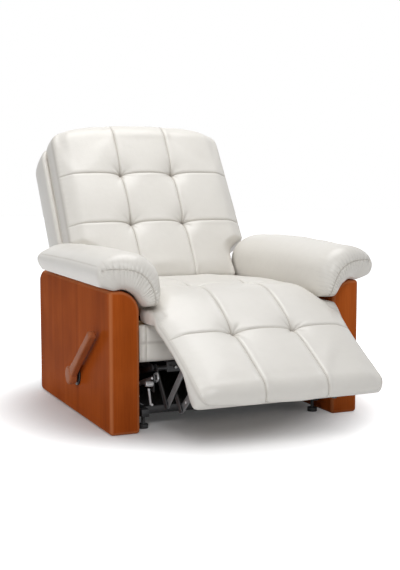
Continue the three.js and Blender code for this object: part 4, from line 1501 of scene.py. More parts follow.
@dataclass
class ArmPad:
    """A plump arm: a long bolster over the panel, ending in a gathered front."""

    outside: tuple = (
        (480.5, 474.5), (491.5, 496.0), (495.0, 521.0), (487.0, 544.0), (465.0, 567.0), (429.0, 583.5),
        (387.5, 588.0), (346.0, 577.0), (313.0, 551.0), (294.5, 518.0), (287.5, 477.0), (287.5, 436.0),
        (295.0, 409.0),
    )
    seam: tuple = (
        (474.0, 533.0), (450.0, 535.0), (425.0, 534.0), (400.0, 531.0), (378.0, 524.0), (358.0, 510.0),
        (341.0, 490.0), (328.0, 466.0), (320.0, 442.0), (316.0, 424.0),
    )
    corner: tuple = (489.0, 540.0)
    panel_outer: float = 450.0
    panel_inner: float = 350.0
    panel_top: float = 461.0
    shoulder: float = 72.0
    front: float = -459.0
    rear: float = 330.0
    round_front: float = 62.0
    round_rear: float = 62.0
    outer_slant: float = 33.0
    pleats: float = 24.0
    lean: float = 0.018
    front_gap: float = 4.5
    pleat_height: float = 8.0
    pleat_reach: float = 34.0
    gather_height: float = 4.6
    gather_reach: float = 13.0
    wrinkle: float = 0.6
    gather_wrinkle: float = 1.6
    seam_depth: float = 2.8
    pinch_depth: float = 11.0
    pinch_reach: float = 13.0
    spoke_height: float = 1.8
    crest: tuple = ((-460, 9), (-397, 6), (-100, 1), (112, 6), (250, 14), (330, 20))
    other_crest: float = 7.0
    unevenness: float = 1.6
    room: float = 3.0
    corner_give: float = 26.0
    around: int = 150
    stations: int = 70
    upper: tuple = (0.0, 0.03, 0.09, 0.18, 0.29, 0.41, 0.53, 0.64, 0.74, 0.83, 0.90, 0.96, 1.0)
    lower: tuple = (0.015, 0.04, 0.075, 0.12, 0.18, 0.25, 0.33, 0.42, 0.52, 0.63, 0.74, 0.84, 0.92, 0.97, 1.0)

    def __post_init__(self) -> None:
        """Lays out the pad's front view: its outer and inner lines and the seam between them."""
        self.places = np.linspace(0, 1, self.around)
        over = SideCurve(self.outside)
        self.over = over.at(self.places * over.length)
        self.length = over.length
        reach = self.shoulder + 1.2
        middle = (self.panel_inner + self.shoulder, self.panel_top - self.shoulder)
        under = [(self.panel_outer - 10.0, self.panel_top + 2.0), (middle[0] + 8, middle[1] + reach)]
        for turn in (12, 24, 36, 48, 60):
            angle = radians(turn)
            under.append((middle[0] - reach * sin(angle), middle[1] + reach * cos(angle)))
        under.append((self.panel_inner - 6.0, self.outside[-1][1] - 2.0))
        inside = SideCurve(under)
        self.under = inside.at(self.places * inside.length)
        away = self.under - np.array(middle)
        away /= np.linalg.norm(away, axis=1)[:, None]
        self.lift = away * (1 - smoothstep(self.under[:, :1], 405, 436))
        self.depth = np.linalg.norm(self.under - self.over, axis=1)
        line = SideCurve(self.seam).line[::8]
        tries = np.linspace(0.08, 0.8, 73)
        spots = self.over[:, None, :] * (1 - tries[:, None]) + self.under[:, None, :] * tries[:, None]
        gaps = np.linalg.norm(spots[:, :, None, :] - line[None, None, :, :], axis=-1).min(-1)
        self.seam_at = tries[gaps.argmin(1)]
        self.tuft = int(np.argmin(np.linalg.norm(self.over - np.array(self.corner), axis=1)))
        self.seam_at[: self.tuft] = self.seam_at[self.tuft]
        kernel = np.hanning(11) / np.hanning(11).sum()
        self.seam_at = np.convolve(np.pad(self.seam_at, 5, mode="edge"), kernel, mode="valid")

    def cap(self, front: bool) -> tuple[np.ndarray, np.ndarray]:
        """One end of the pad as a grid of points.

        Args:
            front: The gathered front end, or else the plain rear end.

        Returns:
            Points by place around and through, and painted shade on the front.
        """
        seam = self.seam_at[:, None] if front else np.full((self.around, 1), 0.5)
        upper, lower = np.array(self.upper)[None, :], np.array(self.lower)[None, :]
        through = np.concatenate([seam * upper, seam + (1 - seam) * lower], axis=1)
        under = self.under + self.lift * (self.front_gap if front else 0.0)
        flat = self.over[:, None, :] * (1 - through[..., None]) + under[:, None, :] * through[..., None]
        roll = np.sqrt(np.clip(1 - (1 - upper) ** 2, 0, 1)) + 0 * seam
        fall = np.sqrt(np.clip(1 - lower**2.6, 0, 1)) + 0 * seam
        around = self.places[:, None]
        ends = (1 - np.abs(2 * around - 1) ** 9) ** 0.5
        depth = self.round_front if front else self.round_rear
        bulge = np.concatenate([roll, fall], axis=1) * ends
        out = depth * bulge
        crease_shade = np.zeros_like(out)
        if front:
            slant = self.outer_slant * (1 - smoothstep(around, 0.08, 0.55))
            out = out - slant * bulge
            offset = (through - seam) * self.depth[:, None]
            gathers, crease_shade = self._gathers(around, offset)
            out = out + gathers * np.sqrt(np.clip(bulge, 0, 1))
        base = self.front + self.round_front if front else self.rear - self.round_rear
        y = base - out if front else base + out
        return np.dstack([flat[..., 0], np.broadcast_to(y, out.shape), flat[..., 1]]), crease_shade

    def _gathers(self, around: np.ndarray, offset: np.ndarray) -> tuple[np.ndarray, np.ndarray]:
        """Pleats below the seam, short gathers over it, the seam itself and the pinched corner.

        Args:
            around: Places round the pad's front, from 0 to 1.
            offset: Millimetres below the seam; over it they are negative.

        Returns:
            Heights out of the front, and painted shade in the seam, the pleats' valleys and the pinched
            corner.
        """
        begin = self.places[self.tuft]
        active = smoothstep(around, begin - 0.01, begin + 0.05) * (1 - smoothstep(around, 0.95, 0.995))
        drift = 0.22 * np.sin(2 * np.pi * 2.3 * around) + 0.12 * np.sin(2 * np.pi * 5.1 * around + 0.8)
        ridge = np.abs(np.sin(np.pi * (self.pleats * around + drift + self.lean * offset))) ** 0.75 - 0.6
        fine = np.cos(2 * np.pi * 27 * around + 3 * np.sin(2 * np.pi * 3.1 * around))
        size = 0.75 + 0.25 * np.sin(2 * np.pi * 4.3 * around + 0.4)
        clear = 1 - np.exp(-((offset / 2.6) ** 2))
        below = self.pleat_height * ridge * size + self.wrinkle * fine
        below = below * np.exp(-np.maximum(offset, 0) / self.pleat_reach)
        above = self.gather_height * ridge + self.gather_wrinkle * fine
        above = above * np.exp(-np.maximum(-offset, 0) / self.gather_reach)
        heights = np.where(offset >= 0, below, above) * clear * active
        line = np.exp(-((offset / 2.2) ** 2)) * active
        heights = heights - self.seam_depth * line
        across = (around - begin) * self.length
        away = np.hypot(across, offset)
        pinch = np.exp(-((away / self.pinch_reach) ** 1.4))
        spokes = np.cos(7 * np.arctan2(offset, across)) * np.exp(-away / 18) * np.clip(away / 6, 0, 1)
        heights = heights - self.pinch_depth * pinch + self.spoke_height * spokes
        # Painted shade along the seam, in the pleats' valleys and at the pinched corner.
        sharp = np.exp(-((offset / 1.3) ** 2)) * active
        valley = np.clip(-2 * ridge - 0.3, 0, 1) * np.exp(-np.abs(offset) / 26) * active
        crease_shade = np.maximum(sharp * 0.6, np.maximum(np.exp(-((away / 5.0) ** 2)) * 0.55, valley * 0.75))
        return heights, crease_shade

    def _settle(self, points: np.ndarray, extra: float) -> np.ndarray:
        """Lets the stuffing sag, with a slow unevenness, and lets the back press in the inner side.

        Args:
            points: The left pad's points, which are changed.
            extra: Millimetres by which this pad's crest lies lower.

        Returns:
            The same points.
        """
        inner = 1 - smoothstep(points[:, 0], 316, 384)
        points[:, 0] += self.room * inner * smoothstep(points[:, 1], 220, 300)
        low = 1 - smoothstep(points[:, 2], 446, 486)
        points[:, 1] -= self.corner_give * inner * low * smoothstep(points[:, 1], 200, 330)
        drop = np.interp(points[:, 1], *zip(*self.crest))
        drop = drop + extra * smoothstep(points[:, 1], -380, 60)
        upper = smoothstep(points[:, 2], 492, 588)
        waves = np.array([noise.noise(Vector(p) / 75.0) for p in points])
        points[:, 2] += upper * (waves * self.unevenness - drop)
        points[:, 0] += smoothstep(points[:, 2], 470, 500) * waves * 0.9
        return points

    def build(self, finishes: Finishes, name: str, sign: int) -> None:
        """Makes one arm pad with its seams and stitches.

        Args:
            finishes: The materials.
            name: The side's name.
            sign: The side's sign along X.
        """
        front, front_crease_shade = self.cap(True)
        rear, _ = self.cap(False)
        around, through = front.shape[:2]
        index = np.arange(around * through).reshape(around, through)
        rim = np.concatenate([index[:, 0], index[-1, 1:], index[-2::-1, -1], index[0, -2:0:-1]])
        flat_front, flat_rear = front.reshape(-1, 3), rear.reshape(-1, 3)
        groove = np.exp(-(((np.arange(len(rim)) - self.tuft) / 0.9) ** 2)) * 0.8
        tube = []
        for share in np.linspace(0, 1, self.stations + 2)[1:-1]:
            ring = flat_front[rim] * (1 - share) + flat_rear[rim] * share
            ring[:, 0] -= groove
            tube.append(ring)
        points = self._settle(np.concatenate([flat_front, *tube, flat_rear]), -self.other_crest * sign)
        tube_start = len(flat_front)
        rear_start = tube_start + len(tube) * len(rim)
        round_tube = np.arange(len(rim))
        inner_loops = [tube_start + k * len(rim) + round_tube for k in range(len(tube))]
        loops = [rim, *inner_loops, rear_start + rim]
        faces = []
        for first, second in zip(loops, loops[1:]):
            faces += list(zip(first, np.roll(first, -1), np.roll(second, -1), second))
        for start in (0, rear_start):
            faces += grid_faces(index + start)
        points[:, 0] *= sign
        made = Piece.mesh(f"arm_bolster_{name}", placed(points), faces)
        crease_shades = np.zeros(len(points))
        crease_shades[:tube_start] = front_crease_shade.ravel()
        side_seam = np.array([loop[self.tuft] for loop in loops[1:-1]])
        # Painted shade along the side seam.
        crease_shades[side_seam] = 0.14
        Piece.mark(made, "crease_shade", crease_shades)
        column = len(self.upper) - 1
        lines = [
            skin_line(made, index[self.tuft + 4 : -3, column - 1], 0.3),
            skin_line(made, side_seam + 1, 0.3),
        ]
        Piece.subdivided(made)
        Piece.dressed(made, finishes.leather, Slot.LEATHER, (f"arm_pad_{name}",))
        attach(made, "frame")
        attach(finishes.stitcher.rows(f"arm_stitches_{name}", lines), "frame")


@dataclass
class Apron:
    """The padded leather panel under the seat's front, with a stitched fold near each end."""

    front: float = -390.0
    thickness: float = 29.0
    foot: float = 226.5
    top: float = 348.0
    half: float = 342.0
    crown: float = 12.0
    fold_x: float = 325.0
    seam_rise: float = 64.0

    def build(self, finishes: Finishes) -> None:
        """Makes the apron and its stitches.

        Args:
            finishes: The materials.
        """
        quilt = Quilt(
            (-self.fold_x, self.fold_x), (self.seam_rise,), self.crown, (), groove=2.4, groove_width=4.4,
            pucker=0, border_gather=3.0, end_roll=46,
        )
        pad = Pad("apron_panel", quilt, side_bulge=1.5, spacing=9.0)
        rings = []
        facing = np.array([-1.0, 0.0])
        heights = np.concatenate([[0, 1.5, 5, 10], np.linspace(18, self.top - self.foot - 18, 12)])
        heights = np.concatenate([heights, self.top - self.foot - np.array([10, 5, 1.5, 0])])
        for rise in heights:
            edge = min(rise, self.top - self.foot - rise)
            drop = 12 * (1 - sqrt(1 - (1 - min(edge / 16, 1)) ** 2))
            base = np.array([self.front, self.foot + rise])
            rings.append(Ring(base, facing, facing, drop, self.thickness - 2 * drop, self.half - drop, rise))
        made = pad.build(rings, 0.0, self.top - self.foot, open_end=False)
        lines = pad.stitch_lines(made, slice(3, -3))
        Piece.subdivided(made)
        Piece.dressed(made, finishes.leather, Slot.LEATHER, ("front_apron",))
        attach(made, "frame")
        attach(finishes.stitcher.rows("apron_stitches", lines, 6.0), "frame")


class Prism:
    """Solids drawn as an outline and given a thickness."""

    @staticmethod
    def across(name: str, outline: Sequence[tuple], low: float, high: float) -> Object:
        """Gives a side-view outline its thickness along X.

        Args:
            name: The piece's name.
            outline: Points (y, z).
            low: Where it starts.
            high: Where it ends.

        Returns:
            The piece.
        """
        count = len(outline)
        points = [(x, y, z) for x in (low, high) for y, z in outline]
        faces = [tuple(range(count)), tuple(range(count, 2 * count))]
        faces += [(i, (i + 1) % count, (i + 1) % count + count, i + count) for i in range(count)]
        return Piece.mesh(name, placed(np.array(points)), faces)

    @staticmethod
    def disc(name: str, centre: tuple, radius: float, low: float, high: float) -> Object:
        """A round bar along X.

        Args:
            name: The piece's name.
            centre: Its middle (y, z).
            radius: Its radius.
            low: Where it starts.
            high: Where it ends.

        Returns:
            The piece.
        """
        sides = 48
        turns = [2 * pi * k / sides for k in range(sides)]
        outline = [(centre[0] + radius * cos(t), centre[1] + radius * sin(t)) for t in turns]
        return Prism.across(name, outline, low, high)

    @staticmethod
    def combined(base: Object, tool: Object, operation: str) -> None:
        """Meets, joins or cuts the base with a tool.

        Args:
            base: The object that is changed.
            tool: The other one, which is used up.
            operation: The kind of Boolean operation.
        """
        step = base.modifiers.new("shape", "BOOLEAN")
        step.operation = operation
        step.solver = "EXACT"
        step.object = tool
        Piece.settled(base)
        bpy.data.objects.remove(tool)


@dataclass
class SidePanels:
    """Thick wooden side panels with a round inner shoulder and softened edges."""

    outer: float = 450.0
    inner: float = 350.0
    height: float = 461.0
    front: float = -400.0
    rear: float = 423.0
    shoulder: float = 72.0
    rear_top: float = 60.0
    rear_foot: float = 25.0
    edge: float = 12.0
    bore: float = 11.0
    shaft: tuple = (-56.0, 139.0)
    guard: float = 1.5

    def section(self, inset: float, low: float, high: float) -> list[tuple[float, float]]:
        """The panel's front view, drawn in by an inset and between two heights.

        Args:
            inset: Millimetres by which the outline is drawn in.
            low: The foot's height.
            high: The top's height.

        Returns:
            Points (x, z) of the left panel.
        """
        near, far = self.inner + inset, self.outer - inset
        bottom, top = inset, self.height - inset
        small, large = max(self.edge - inset, 0.4), self.shoulder - inset
        corners = (
            (near + small, bottom + small, small, 180, 10), (far - small, bottom + small, small, 270, 10),
            (far - small, top - small, small, 0, 10), (near + large, top - large, large, 90, 30),
        )
        points = []
        for u, v, radius, start, steps in corners:
            turns = [radians(start + 90 * k / steps) for k in range(steps + 1)]
            arc = [(u + radius * cos(t), v + radius * sin(t)) for t in turns]
            first, last = radians(start), radians(start + 90)
            lead = (arc[0][0] + self.guard * sin(first), arc[0][1] - self.guard * cos(first))
            tail = (arc[-1][0] - self.guard * sin(last), arc[-1][1] + self.guard * cos(last))
            points += [lead, *arc, tail]
        scale = (high - low) / self.height
        return [(x, low + z * scale) for x, z in points]

    def stations(self) -> list[tuple[float, float, float, float]]:
        """Places along the panel with their inset, foot and top heights.

        Returns:
            Rows of place, inset, foot height and top height.
        """
        turns = np.radians(np.linspace(0, 90, 8))
        places = list(self.front + self.edge * (1 - np.sin(turns[::-1])))
        places.append(self.front + self.edge + self.guard)
        arc = self.rear - self.rear_top
        places += [arc - self.guard] + list(arc + self.rear_top * np.sin(np.radians(np.linspace(0, 78, 16))))
        places += list(self.rear - self.edge * (1 - np.sin(turns)))
        rows = []
        for y in sorted(set(np.round(places, 3))):
            ends = max(self.edge - (y - self.front), self.edge - (self.rear - y), 0)
            inset = self.edge - sqrt(max(self.edge**2 - ends**2, 0))
            top = self.rear_top - sqrt(max(self.rear_top**2 - max(y - arc, 0) ** 2, 0))
            into = max(y - (self.rear - self.rear_foot), 0)
            foot = self.rear_foot - sqrt(max(self.rear_foot**2 - into**2, 0))
            rows.append((float(y), inset, foot, self.height - top))
        return rows

    def edge_highlight_share(self) -> np.ndarray:
        """How much painted highlight each point gets: most in the middle of the rounded edges.

        Returns:
            A row of values for each station, from 0 to 1.
        """
        corners = np.zeros(len(self.section(0.0, 0.0, self.height)))
        for first in (0, 13, 26):
            corners[first : first + 13] = [0, *np.sin(np.linspace(0, np.pi, 11)), 0]
        rows = []
        for _, inset, _, _ in self.stations():
            turn = acos(max(1 - inset / self.edge, 0.0)) / (pi / 2)
            rows.append(np.maximum(corners * (1 - turn), sin(pi * turn)))
        return np.array(rows)

    def build(self, finishes: Finishes) -> None:
        """Makes both panels.

        Args:
            finishes: The materials.
        """
        for name, sign in SIDES.items():
            rings = []
            for y, inset, low, high in self.stations():
                rings.append([(sign * x, y, z) for x, z in self.section(inset, low, high)])
            panel = Piece.lofted(f"cherry_panel_{name}", rings)
            # Painted highlight along the rounded edges.
            Piece.mark(panel, "edge_highlight", self.edge_highlight_share())
            if sign < 0:
                hole = Prism.disc("hole", self.shaft, self.bore, -self.outer - 5, -self.inner + 5)
                Prism.combined(panel, hole, "DIFFERENCE")
            Piece.shaded(panel)
            Piece.dressed(panel, finishes.cherry, Slot.CHERRY, (f"side_panel_{name}",))
            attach(panel, "frame")


@dataclass
class Lever:
    """The wooden hand lever on the right panel: a round hub, a tapered arm and a black ring."""

    axis: tuple = (-56.0, 139.0)
    length: float = 300.0
    angle: float = radians(36.6)
    panel: float = -450.0
    standoff: float = 9.0
    thickness: float = 28.0
    hub: float = 32.0
    ring: float = 36.0
    bore: float = 11.0
    widths: tuple = ((0.0, 21.0), (0.10, 19.0), (0.26, 15.5), (0.6, 14.0), (0.85, 13.2), (1.0, 12.8))

    def build(self, finishes: Finishes) -> None:
        """Makes the arm with its hub, and the ring behind it.

        Args:
            finishes: The materials.
        """
        middle = self.panel - self.standoff - self.thickness / 2
        way = np.array([-cos(self.angle), sin(self.angle)])
        square = np.array([-way[1], way[0]])
        tip = self.widths[-1][1]
        straight = self.length - tip
        places = [(s * straight, 1.0) for s in np.linspace(0, 1, 26)]
        places += [(straight + tip * sin(t), cos(t)) for t in np.radians(np.linspace(10, 84, 9))]
        turns = np.linspace(0, 2 * np.pi, 40, endpoint=False)
        around = np.sign(np.cos(turns)) * np.abs(np.cos(turns)) ** 0.36
        beside = np.sign(np.sin(turns)) * np.abs(np.sin(turns)) ** 0.36
        rings = []
        for along, full in places:
            share = min(along / straight, 1.0)
            half = float(np.interp(share, *zip(*self.widths))) * full
            thick = self.thickness / 2 * lerp(0.84, 0.90, share) * full**0.8
            spot = np.array(self.axis) + way * along
            side_view = spot[None, :] + square[None, :] * (beside * half)[:, None]
            rings.append(np.column_stack([middle + around * thick, side_view]))
        arm = Piece.lofted("cherry_lever_arm", rings)
        hub = self._turned("hub", self.hub, middle, self.thickness, 7.0)
        Prism.combined(arm, hub, "UNION")
        Piece.shaded(arm)
        Piece.dressed(arm, finishes.lever_wood, Slot.CHERRY, ("lever_arm",))
        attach(arm, "lever")
        ring = self._turned("escutcheon_ring", self.ring, self.panel - 3.3, 6.0, 2.2)
        bore = Prism.disc("bore", self.axis, self.bore, self.panel + 2, self.panel - 9)
        Prism.combined(ring, bore, "DIFFERENCE")
        Piece.shaded(ring)
        Piece.dressed(ring, finishes.black, Slot.BLACK_STEEL, ("lever_escutcheon",))
        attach(ring, "frame")

    def _turned(self, name: str, radius: float, middle: float, thick: float, edge: float) -> Object:
        """A disc about the lever's axis with round edges.

        Args:
            name: The piece's name.
            radius: Its radius.
            middle: Where its middle lies across the seat.
            thick: Its thickness.
            edge: The radius of its edges.

        Returns:
            The piece.
        """
        turns = np.linspace(0, 2 * np.pi, 72, endpoint=False)
        circle = np.column_stack([np.cos(turns), np.sin(turns)])
        rings = []
        bends = np.radians(np.linspace(0, 90, 7))
        profile = [(-thick / 2 + edge * (1 - cos(b)), radius - edge * (1 - sin(b))) for b in bends]
        profile += [(-x, r) for x, r in reversed(profile)]
        for x, reach in profile:
            side_view = np.array(self.axis)[None, :] + circle * reach
            rings.append(np.column_stack([np.full(len(turns), middle + x), side_view]))
        return Piece.lofted(name, rings)


@dataclass
class LiningAndShade:
    """Near-black cloth under the seat, one piece across the base and one down its rear: a guessed dust cover
    that also paints the shade inside the base.
    """

    half: float = 294.0
    front_tube: float = -298.0
    rear_tube: float = 300.0
    tube_top: float = 66.8
    rear_rail: tuple = (172.0, 324.0)
    sag: float = 5.0

    def build(self, finishes: Finishes) -> None:
        """Makes both cloths.

        Args:
            finishes: The materials.
        """
        self._cloth(
            "dust_cloth_and_shade_base", (self.front_tube - 10, self.tube_top), (self.rear_tube - 14, self.tube_top),
            finishes,
        )
        self._cloth(
            "dust_cloth_and_shade_rear", (self.rear_tube - 13, self.tube_top + 1), self.rear_rail, finishes,
        )

    def _cloth(self, name: str, start: tuple, end: tuple, finishes: Finishes) -> None:
        """A stretched cloth between two side-view points.

        Args:
            name: The piece's name.
            start: Its first edge (y, z).
            end: Its last edge (y, z).
            finishes: The materials.
        """
        start, end = np.array(start), np.array(end)
        length = float(np.linalg.norm(end - start))
        across, along = np.linspace(-1, 1, 41), np.linspace(0, 1, 49)
        way = (end - start) / length
        down = np.array([way[1], -way[0]])
        points = []
        for share in along:
            for side in across:
                wave = noise.noise(Vector((side * 3, share * 3, 0.7))) * 1.2
                dip = (self.sag * (1 - side**4) + wave) * sin(pi * share)
                y, z = start + (end - start) * share + down * dip
                points.append((side * self.half, y, z))
        index = np.arange(len(points)).reshape(len(along), len(across))
        made = Piece.mesh(name, placed(np.array(points)), grid_faces(index))
        thick = made.modifiers.new("cloth", "SOLIDIFY")
        thick.thickness = 0.6 * MM
        Piece.settled(made)
        Piece.dressed(made, finishes.lining_and_shade, None)
        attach(made, "frame")
        self.half * 2 * MM


def carried_bodies() -> dict[str, str]:
    """The body that carries each node."""
    return {n: b for b, members in frame["record"]["behaviour"]["bodies"].items() for n in members}


class Steelwork:
    """Links, plates, rods and tubes: the frame's own nodes with broken edges."""

    black = (
        "shoulder_link", "cross_link", "drive_crank", "mechanism_plate", "base_rail", "back_bracket",
        "back_hinge_plate", "footrest_bracket", "front_cross_tube", "rear_cross_tube", "front_cross_angle",
    )
    grey = ("lift_link", "toe_link", "drive_shaft", "seat_spring")
    zinc = ("drive_rod",)

    def __init__(self, finishes: Finishes) -> None:
        """Keeps the finishes."""
        self.finishes = finishes
        self.bodies = carried_bodies()

    def build(self) -> None:
        """Refines every steel node."""
        groups = (
            (self.black, self.finishes.black, Slot.BLACK_STEEL),
            (self.grey, self.finishes.grey, Slot.GREY_STEEL),
            (self.zinc, self.finishes.zinc, Slot.ZINC),
            (("levelling_foot",), self.finishes.nylon, Slot.NYLON),
        )
        for starts, material, slot in groups:
            for node in sorted(self.bodies):
                if node.startswith(starts):
                    self._refine(node, material, slot)

    def _refine(self, node: str, material: Material, slot: Slot) -> None:
        """Replaces a node by a copy with merged points and broken edges.

        Args:
            node: The node's name.
            material: The copy's material.
            slot: Its material slot.
        """
        shape = bmesh.new()
        shape.from_mesh(frame["nodes"][node].data)
        bmesh.ops.remove_doubles(shape, verts=shape.verts, dist=2e-5)
        bmesh.ops.dissolve_limit(
            shape, angle_limit=radians(0.5), verts=shape.verts, edges=shape.edges,
            use_dissolve_boundaries=False,
        )
        data = bpy.data.meshes.new(node + "_steel")
        shape.to_mesh(data)
        shape.free()
        made = Piece.linked(data)
        if not node.startswith("seat_spring"):
            Piece.bevelled(made, 0.7 * MM)
        else:
            data.shade_smooth()
        Piece.dressed(made, material, slot, (node,))
        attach(made, self.bodies[node])


class Fixings:
    """Small zinc parts in front of the linkage: a roller and its pull rod, and domed heads."""

    roller: tuple = ((304.0, -391.0, 156.0), (329.0, -391.0, 158.0))
    rod: tuple = ((318.0, -391.0, 143.0), (306.5, -378.0, 86.0))
    tab: tuple = ((-399.0, 130.0), (-376.0, 130.0), (-376.0, 182.0), (-399.0, 182.0))
    frame_heads: tuple = (
        (226.0, -396.5, 206.0), (302.0, -378.0, 86.0), (306.0, -391.0, 175.0), (349.5, -380.0, 161.0),
        (349.5, -380.0, 118.0),
    )
    toe_heads: tuple = ((270.1, -582.5, 131.0),)
    head: float = 4.6

    def __init__(self, finishes: Finishes) -> None:
        """Builds the node tree that sets a head at each point.

        Args:
            finishes: The materials.
        """
        self.finishes = finishes
        self.bodies = carried_bodies()
        kinds = {"Radius": "NodeSocketFloat", "Proportions": "NodeSocketVector"}
        repeat = Repeat("domed_heads", kinds)
        dome = repeat.ball(24, 14)
        sources = repeat.start.outputs
        repeat.link(sources[0], repeat.spread.inputs["Points"])
        repeat.link(sources["Radius"], dome.inputs["Radius"])
        repeat.link(sources["Proportions"], repeat.spread.inputs["Scale"])
        repeat.link(dome.outputs[0], repeat.spread.inputs["Instance"])
        repeat.close(finishes.zinc)
        self.repeat = repeat

    def build(self) -> None:
        """Makes the parts of both sides."""
        for name, sign in SIDES.items():
            mirror = np.array([sign, 1.0, 1.0])
            low, high = sorted((sign * 301.0, sign * 304.0))
            tab = Prism.across(f"latch_tab_{name}", self.tab, low, high)
            self._dress(tab, self.finishes.black, Slot.BLACK_STEEL)
            for kind, ends, radius in (("roller", self.roller, 8.5), ("rod", self.rod, 4.0)):
                made = self._bar(f"latch_{kind}_{name}", *(np.array(e) * mirror for e in ends), radius)
                self._dress(made, self.finishes.zinc, Slot.ZINC)
            toe_body = self.bodies[f"toe_link_{name}"]
            groups = (("frame", self.frame_heads, "frame", 1.0), ("toe", self.toe_heads, toe_body, 0.3))
            for kind, spots, body, height in groups:
                heads = Piece.mesh(f"{kind}_heads_{name}", placed(np.array(spots) * mirror), [])
                shape = (height, 1.0, 1.0)
                self.repeat.apply(heads, Slot.ZINC, Radius=self.head * MM, Proportions=shape)
                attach(heads, body)

    @staticmethod
    def _dress(made: Object, material: Material, slot: Slot) -> None:
        """Softens the edges and gives the finish.

        Args:
            made: The part.
            material: Its material.
            slot: Its material slot.
        """
        Piece.bevelled(made, 0.8 * MM)
        Piece.dressed(made, material, slot, ())
        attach(made, "frame")

    @staticmethod
    def _bar(name: str, start: np.ndarray, end: np.ndarray, radius: float) -> Object:
        """A round bar between two points, in drawing millimetres.

        Args:
            name: The piece's name.
            start: One end.
            end: The other end.
            radius: Its radius.

        Returns:
            The piece.
        """
        way = Vector(end - start).normalized()
        turn = way.to_track_quat("Z", "Y")
        angles = np.linspace(0, 2 * np.pi, 33)[:-1]
        rings = []
        for share in (0.0, 0.12, 0.88, 1.0):
            middle = start + (end - start) * share
            circle = [turn @ Vector((radius * cos(a), radius * sin(a), 0)) for a in angles]
            rings.append([middle + np.array(p) for p in circle])
        return Piece.lofted(name, rings)


class Woodwork:
    """Rails and boards that the cushions hide, carried over from the frame."""

    nodes = ("front_rail", "rear_rail", "side_rail_right", "side_rail_left", "back_board", "footrest_board")

    def build(self, finishes: Finishes) -> None:
        """Gives the carried-over boards their finish.

        Args:
            finishes: The materials.
        """
        for node in self.nodes:
            made = frame["nodes"][node]
            made.data.materials.clear()
            made.data.materials.append(finishes.frame_wood)


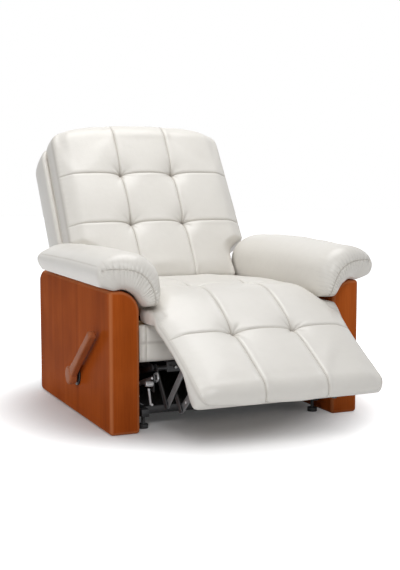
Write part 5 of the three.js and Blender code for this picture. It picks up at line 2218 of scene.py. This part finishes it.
@dataclass
class Studio:
    """Pale floor, soft lights and the camera."""

    camera_at: tuple = (-1.542, -3.59223, 0.852)
    camera_turn: tuple = (radians(83.76), 0.0, radians(-23.5))
    lens: float = 69.3
    sensor: float = 36.0
    near_glow: float = 0.04
    glow_shift: tuple = (0.08, 0.0, 0.0)
    lamps: tuple = (
        ("key", (-1.3, -3.1, 2.5), (0.0, -0.1, 0.5), 1.3, 42.0),
        ("top", (0.1, 0.3, 3.1), (0.0, 0.1, 0.4), 2.0, 50.0),
        ("left", (-3.4, -0.4, 1.5), (0.0, 0.0, 0.5), 1.6, 14.0),
        ("right", (2.4, -2.8, 1.0), (0.1, -0.2, 0.4), 1.6, 8.0),
    )

    def build(self) -> None:
        """Sets up the floor, the world, the lamps and the camera."""
        self._floor()
        self._world()
        for lamp in self.lamps:
            self._lamp(*lamp)
        data = bpy.data.cameras.new("camera")
        data.lens = self.lens
        data.sensor_width = self.sensor
        camera = bpy.data.objects.new("camera", data)
        camera.location = self.camera_at
        camera.rotation_euler = self.camera_turn
        bpy.context.scene.collection.objects.link(camera)
        bpy.context.scene.camera = camera
        bpy.context.scene.view_settings.view_transform = "Standard"

    def _floor(self) -> None:
        """A wide pale floor that keeps shadows and fades to white."""
        size = 14.0
        corners = np.array([(-size, -size, 0), (size, -size, 0), (size, size, 0), (-size, size, 0)])
        floor = Piece.mesh("floor", corners, [(0, 1, 2, 3)])
        finish = Finish("studio_floor")
        ray = finish.node("ShaderNodeLightPath", output="Is Camera Ray")
        glossy = finish.node("ShaderNodeLightPath", output="Is Glossy Ray")
        through = finish.node("ShaderNodeLightPath", output="Is Transmission Ray")
        seen = (ray + glossy + through).clamped()
        haze = finish.noise(1.5, 2.0) * 0.02 + 0.80
        colour = finish.node("ShaderNodeCombineColor", inputs={0: haze, 1: haze, 2: haze})
        finish.set(Base_Color=colour, Roughness=0.75, Specular_IOR_Level=0.2)
        centre = {0: finish.position, 1: self.glow_shift}
        spot = finish.node("ShaderNodeVectorMath", {"operation": "ADD"}, centre)
        away = finish.node("ShaderNodeVectorMath", {"operation": "LENGTH"}, {0: spot}, output="Value")
        fade = finish.node(
            "ShaderNodeMapRange", {"interpolation_type": "SMOOTHSTEP"},
            {"Value": away, "From Min": 0.42, "From Max": 0.95, "To Min": self.near_glow, "To Max": 1.0},
        )
        white = (1.0, 1.0, 1.0, 1.0)
        glow = finish.node("ShaderNodeEmission", inputs={"Color": white, "Strength": fade})
        plain = Flow(finish, finish.shader.outputs[0])
        total = finish.node("ShaderNodeAddShader", inputs={0: plain, 1: glow})
        mixed = finish.node("ShaderNodeMixShader", inputs={0: seen, 1: plain, 2: total})
        finish.tree.links.new(mixed.socket, finish.output.inputs[0])
        floor.data.materials.append(finish.material)

    @staticmethod
    def _world() -> None:
        """An even grey sky that the camera sees as white."""
        world = bpy.data.worlds.new("studio")
        world.use_nodes = True
        tree = world.node_tree
        tree.nodes.clear()
        path = tree.nodes.new("ShaderNodeLightPath")
        first, second = (tree.nodes.new("ShaderNodeMath") for _ in range(2))
        first.operation = second.operation = "MAXIMUM"
        lit, seen = (tree.nodes.new("ShaderNodeBackground") for _ in range(2))
        glows = ((lit, (0.93, 0.95, 1.0, 1.0), 0.22), (seen, (1.0, 1.0, 1.0, 1.0), 1.0))
        for node, colour, strength in glows:
            node.inputs[0].default_value = colour
            node.inputs[1].default_value = strength
        mixed = tree.nodes.new("ShaderNodeMixShader")
        output = tree.nodes.new("ShaderNodeOutputWorld")
        for source, target in (
            (path.outputs["Is Camera Ray"], first.inputs[0]),
            (path.outputs["Is Glossy Ray"], first.inputs[1]),
            (path.outputs["Is Transmission Ray"], second.inputs[1]),
            (first.outputs[0], second.inputs[0]),
            (second.outputs[0], mixed.inputs[0]),
            (lit.outputs[0], mixed.inputs[1]),
            (seen.outputs[0], mixed.inputs[2]),
            (mixed.outputs[0], output.inputs[0]),
        ):
            tree.links.new(source, target)
        bpy.context.scene.world = world

    @staticmethod
    def _lamp(name: str, at: tuple, towards: tuple, size: float, power: float) -> None:
        """A square area lamp.

        Args:
            name: Its name.
            at: Its place.
            towards: What it faces.
            size: Its width in metres.
            power: Its power in watts.
        """
        data = bpy.data.lights.new(name, "AREA")
        data.shape = "SQUARE"
        data.size = size
        data.energy = power
        lamp = bpy.data.objects.new(name, data)
        lamp.location = at
        way = Vector(towards) - Vector(at)
        lamp.rotation_euler = way.to_track_quat("-Z", "Y").to_euler()
        bpy.context.scene.collection.objects.link(lamp)


def main() -> None:
    """Builds and dresses the seat, piece by piece."""
    logging.basicConfig(level=logging.INFO, format="%(message)s")
    Studio().build()
    finishes = Finishes()
    SeatAndChaise().build(finishes)
    back = Back()
    back.cushion(finishes)
    back.shell(finishes)
    for name, sign in SIDES.items():
        ArmPad().build(finishes, name, sign)
    Apron().build(finishes)
    SidePanels().build(finishes)
    Lever().build(finishes)
    Steelwork(finishes).build()
    Fixings(finishes).build()
    Woodwork().build(finishes)
    LiningAndShade().build(finishes)


if __name__ == "__main__":
    main()
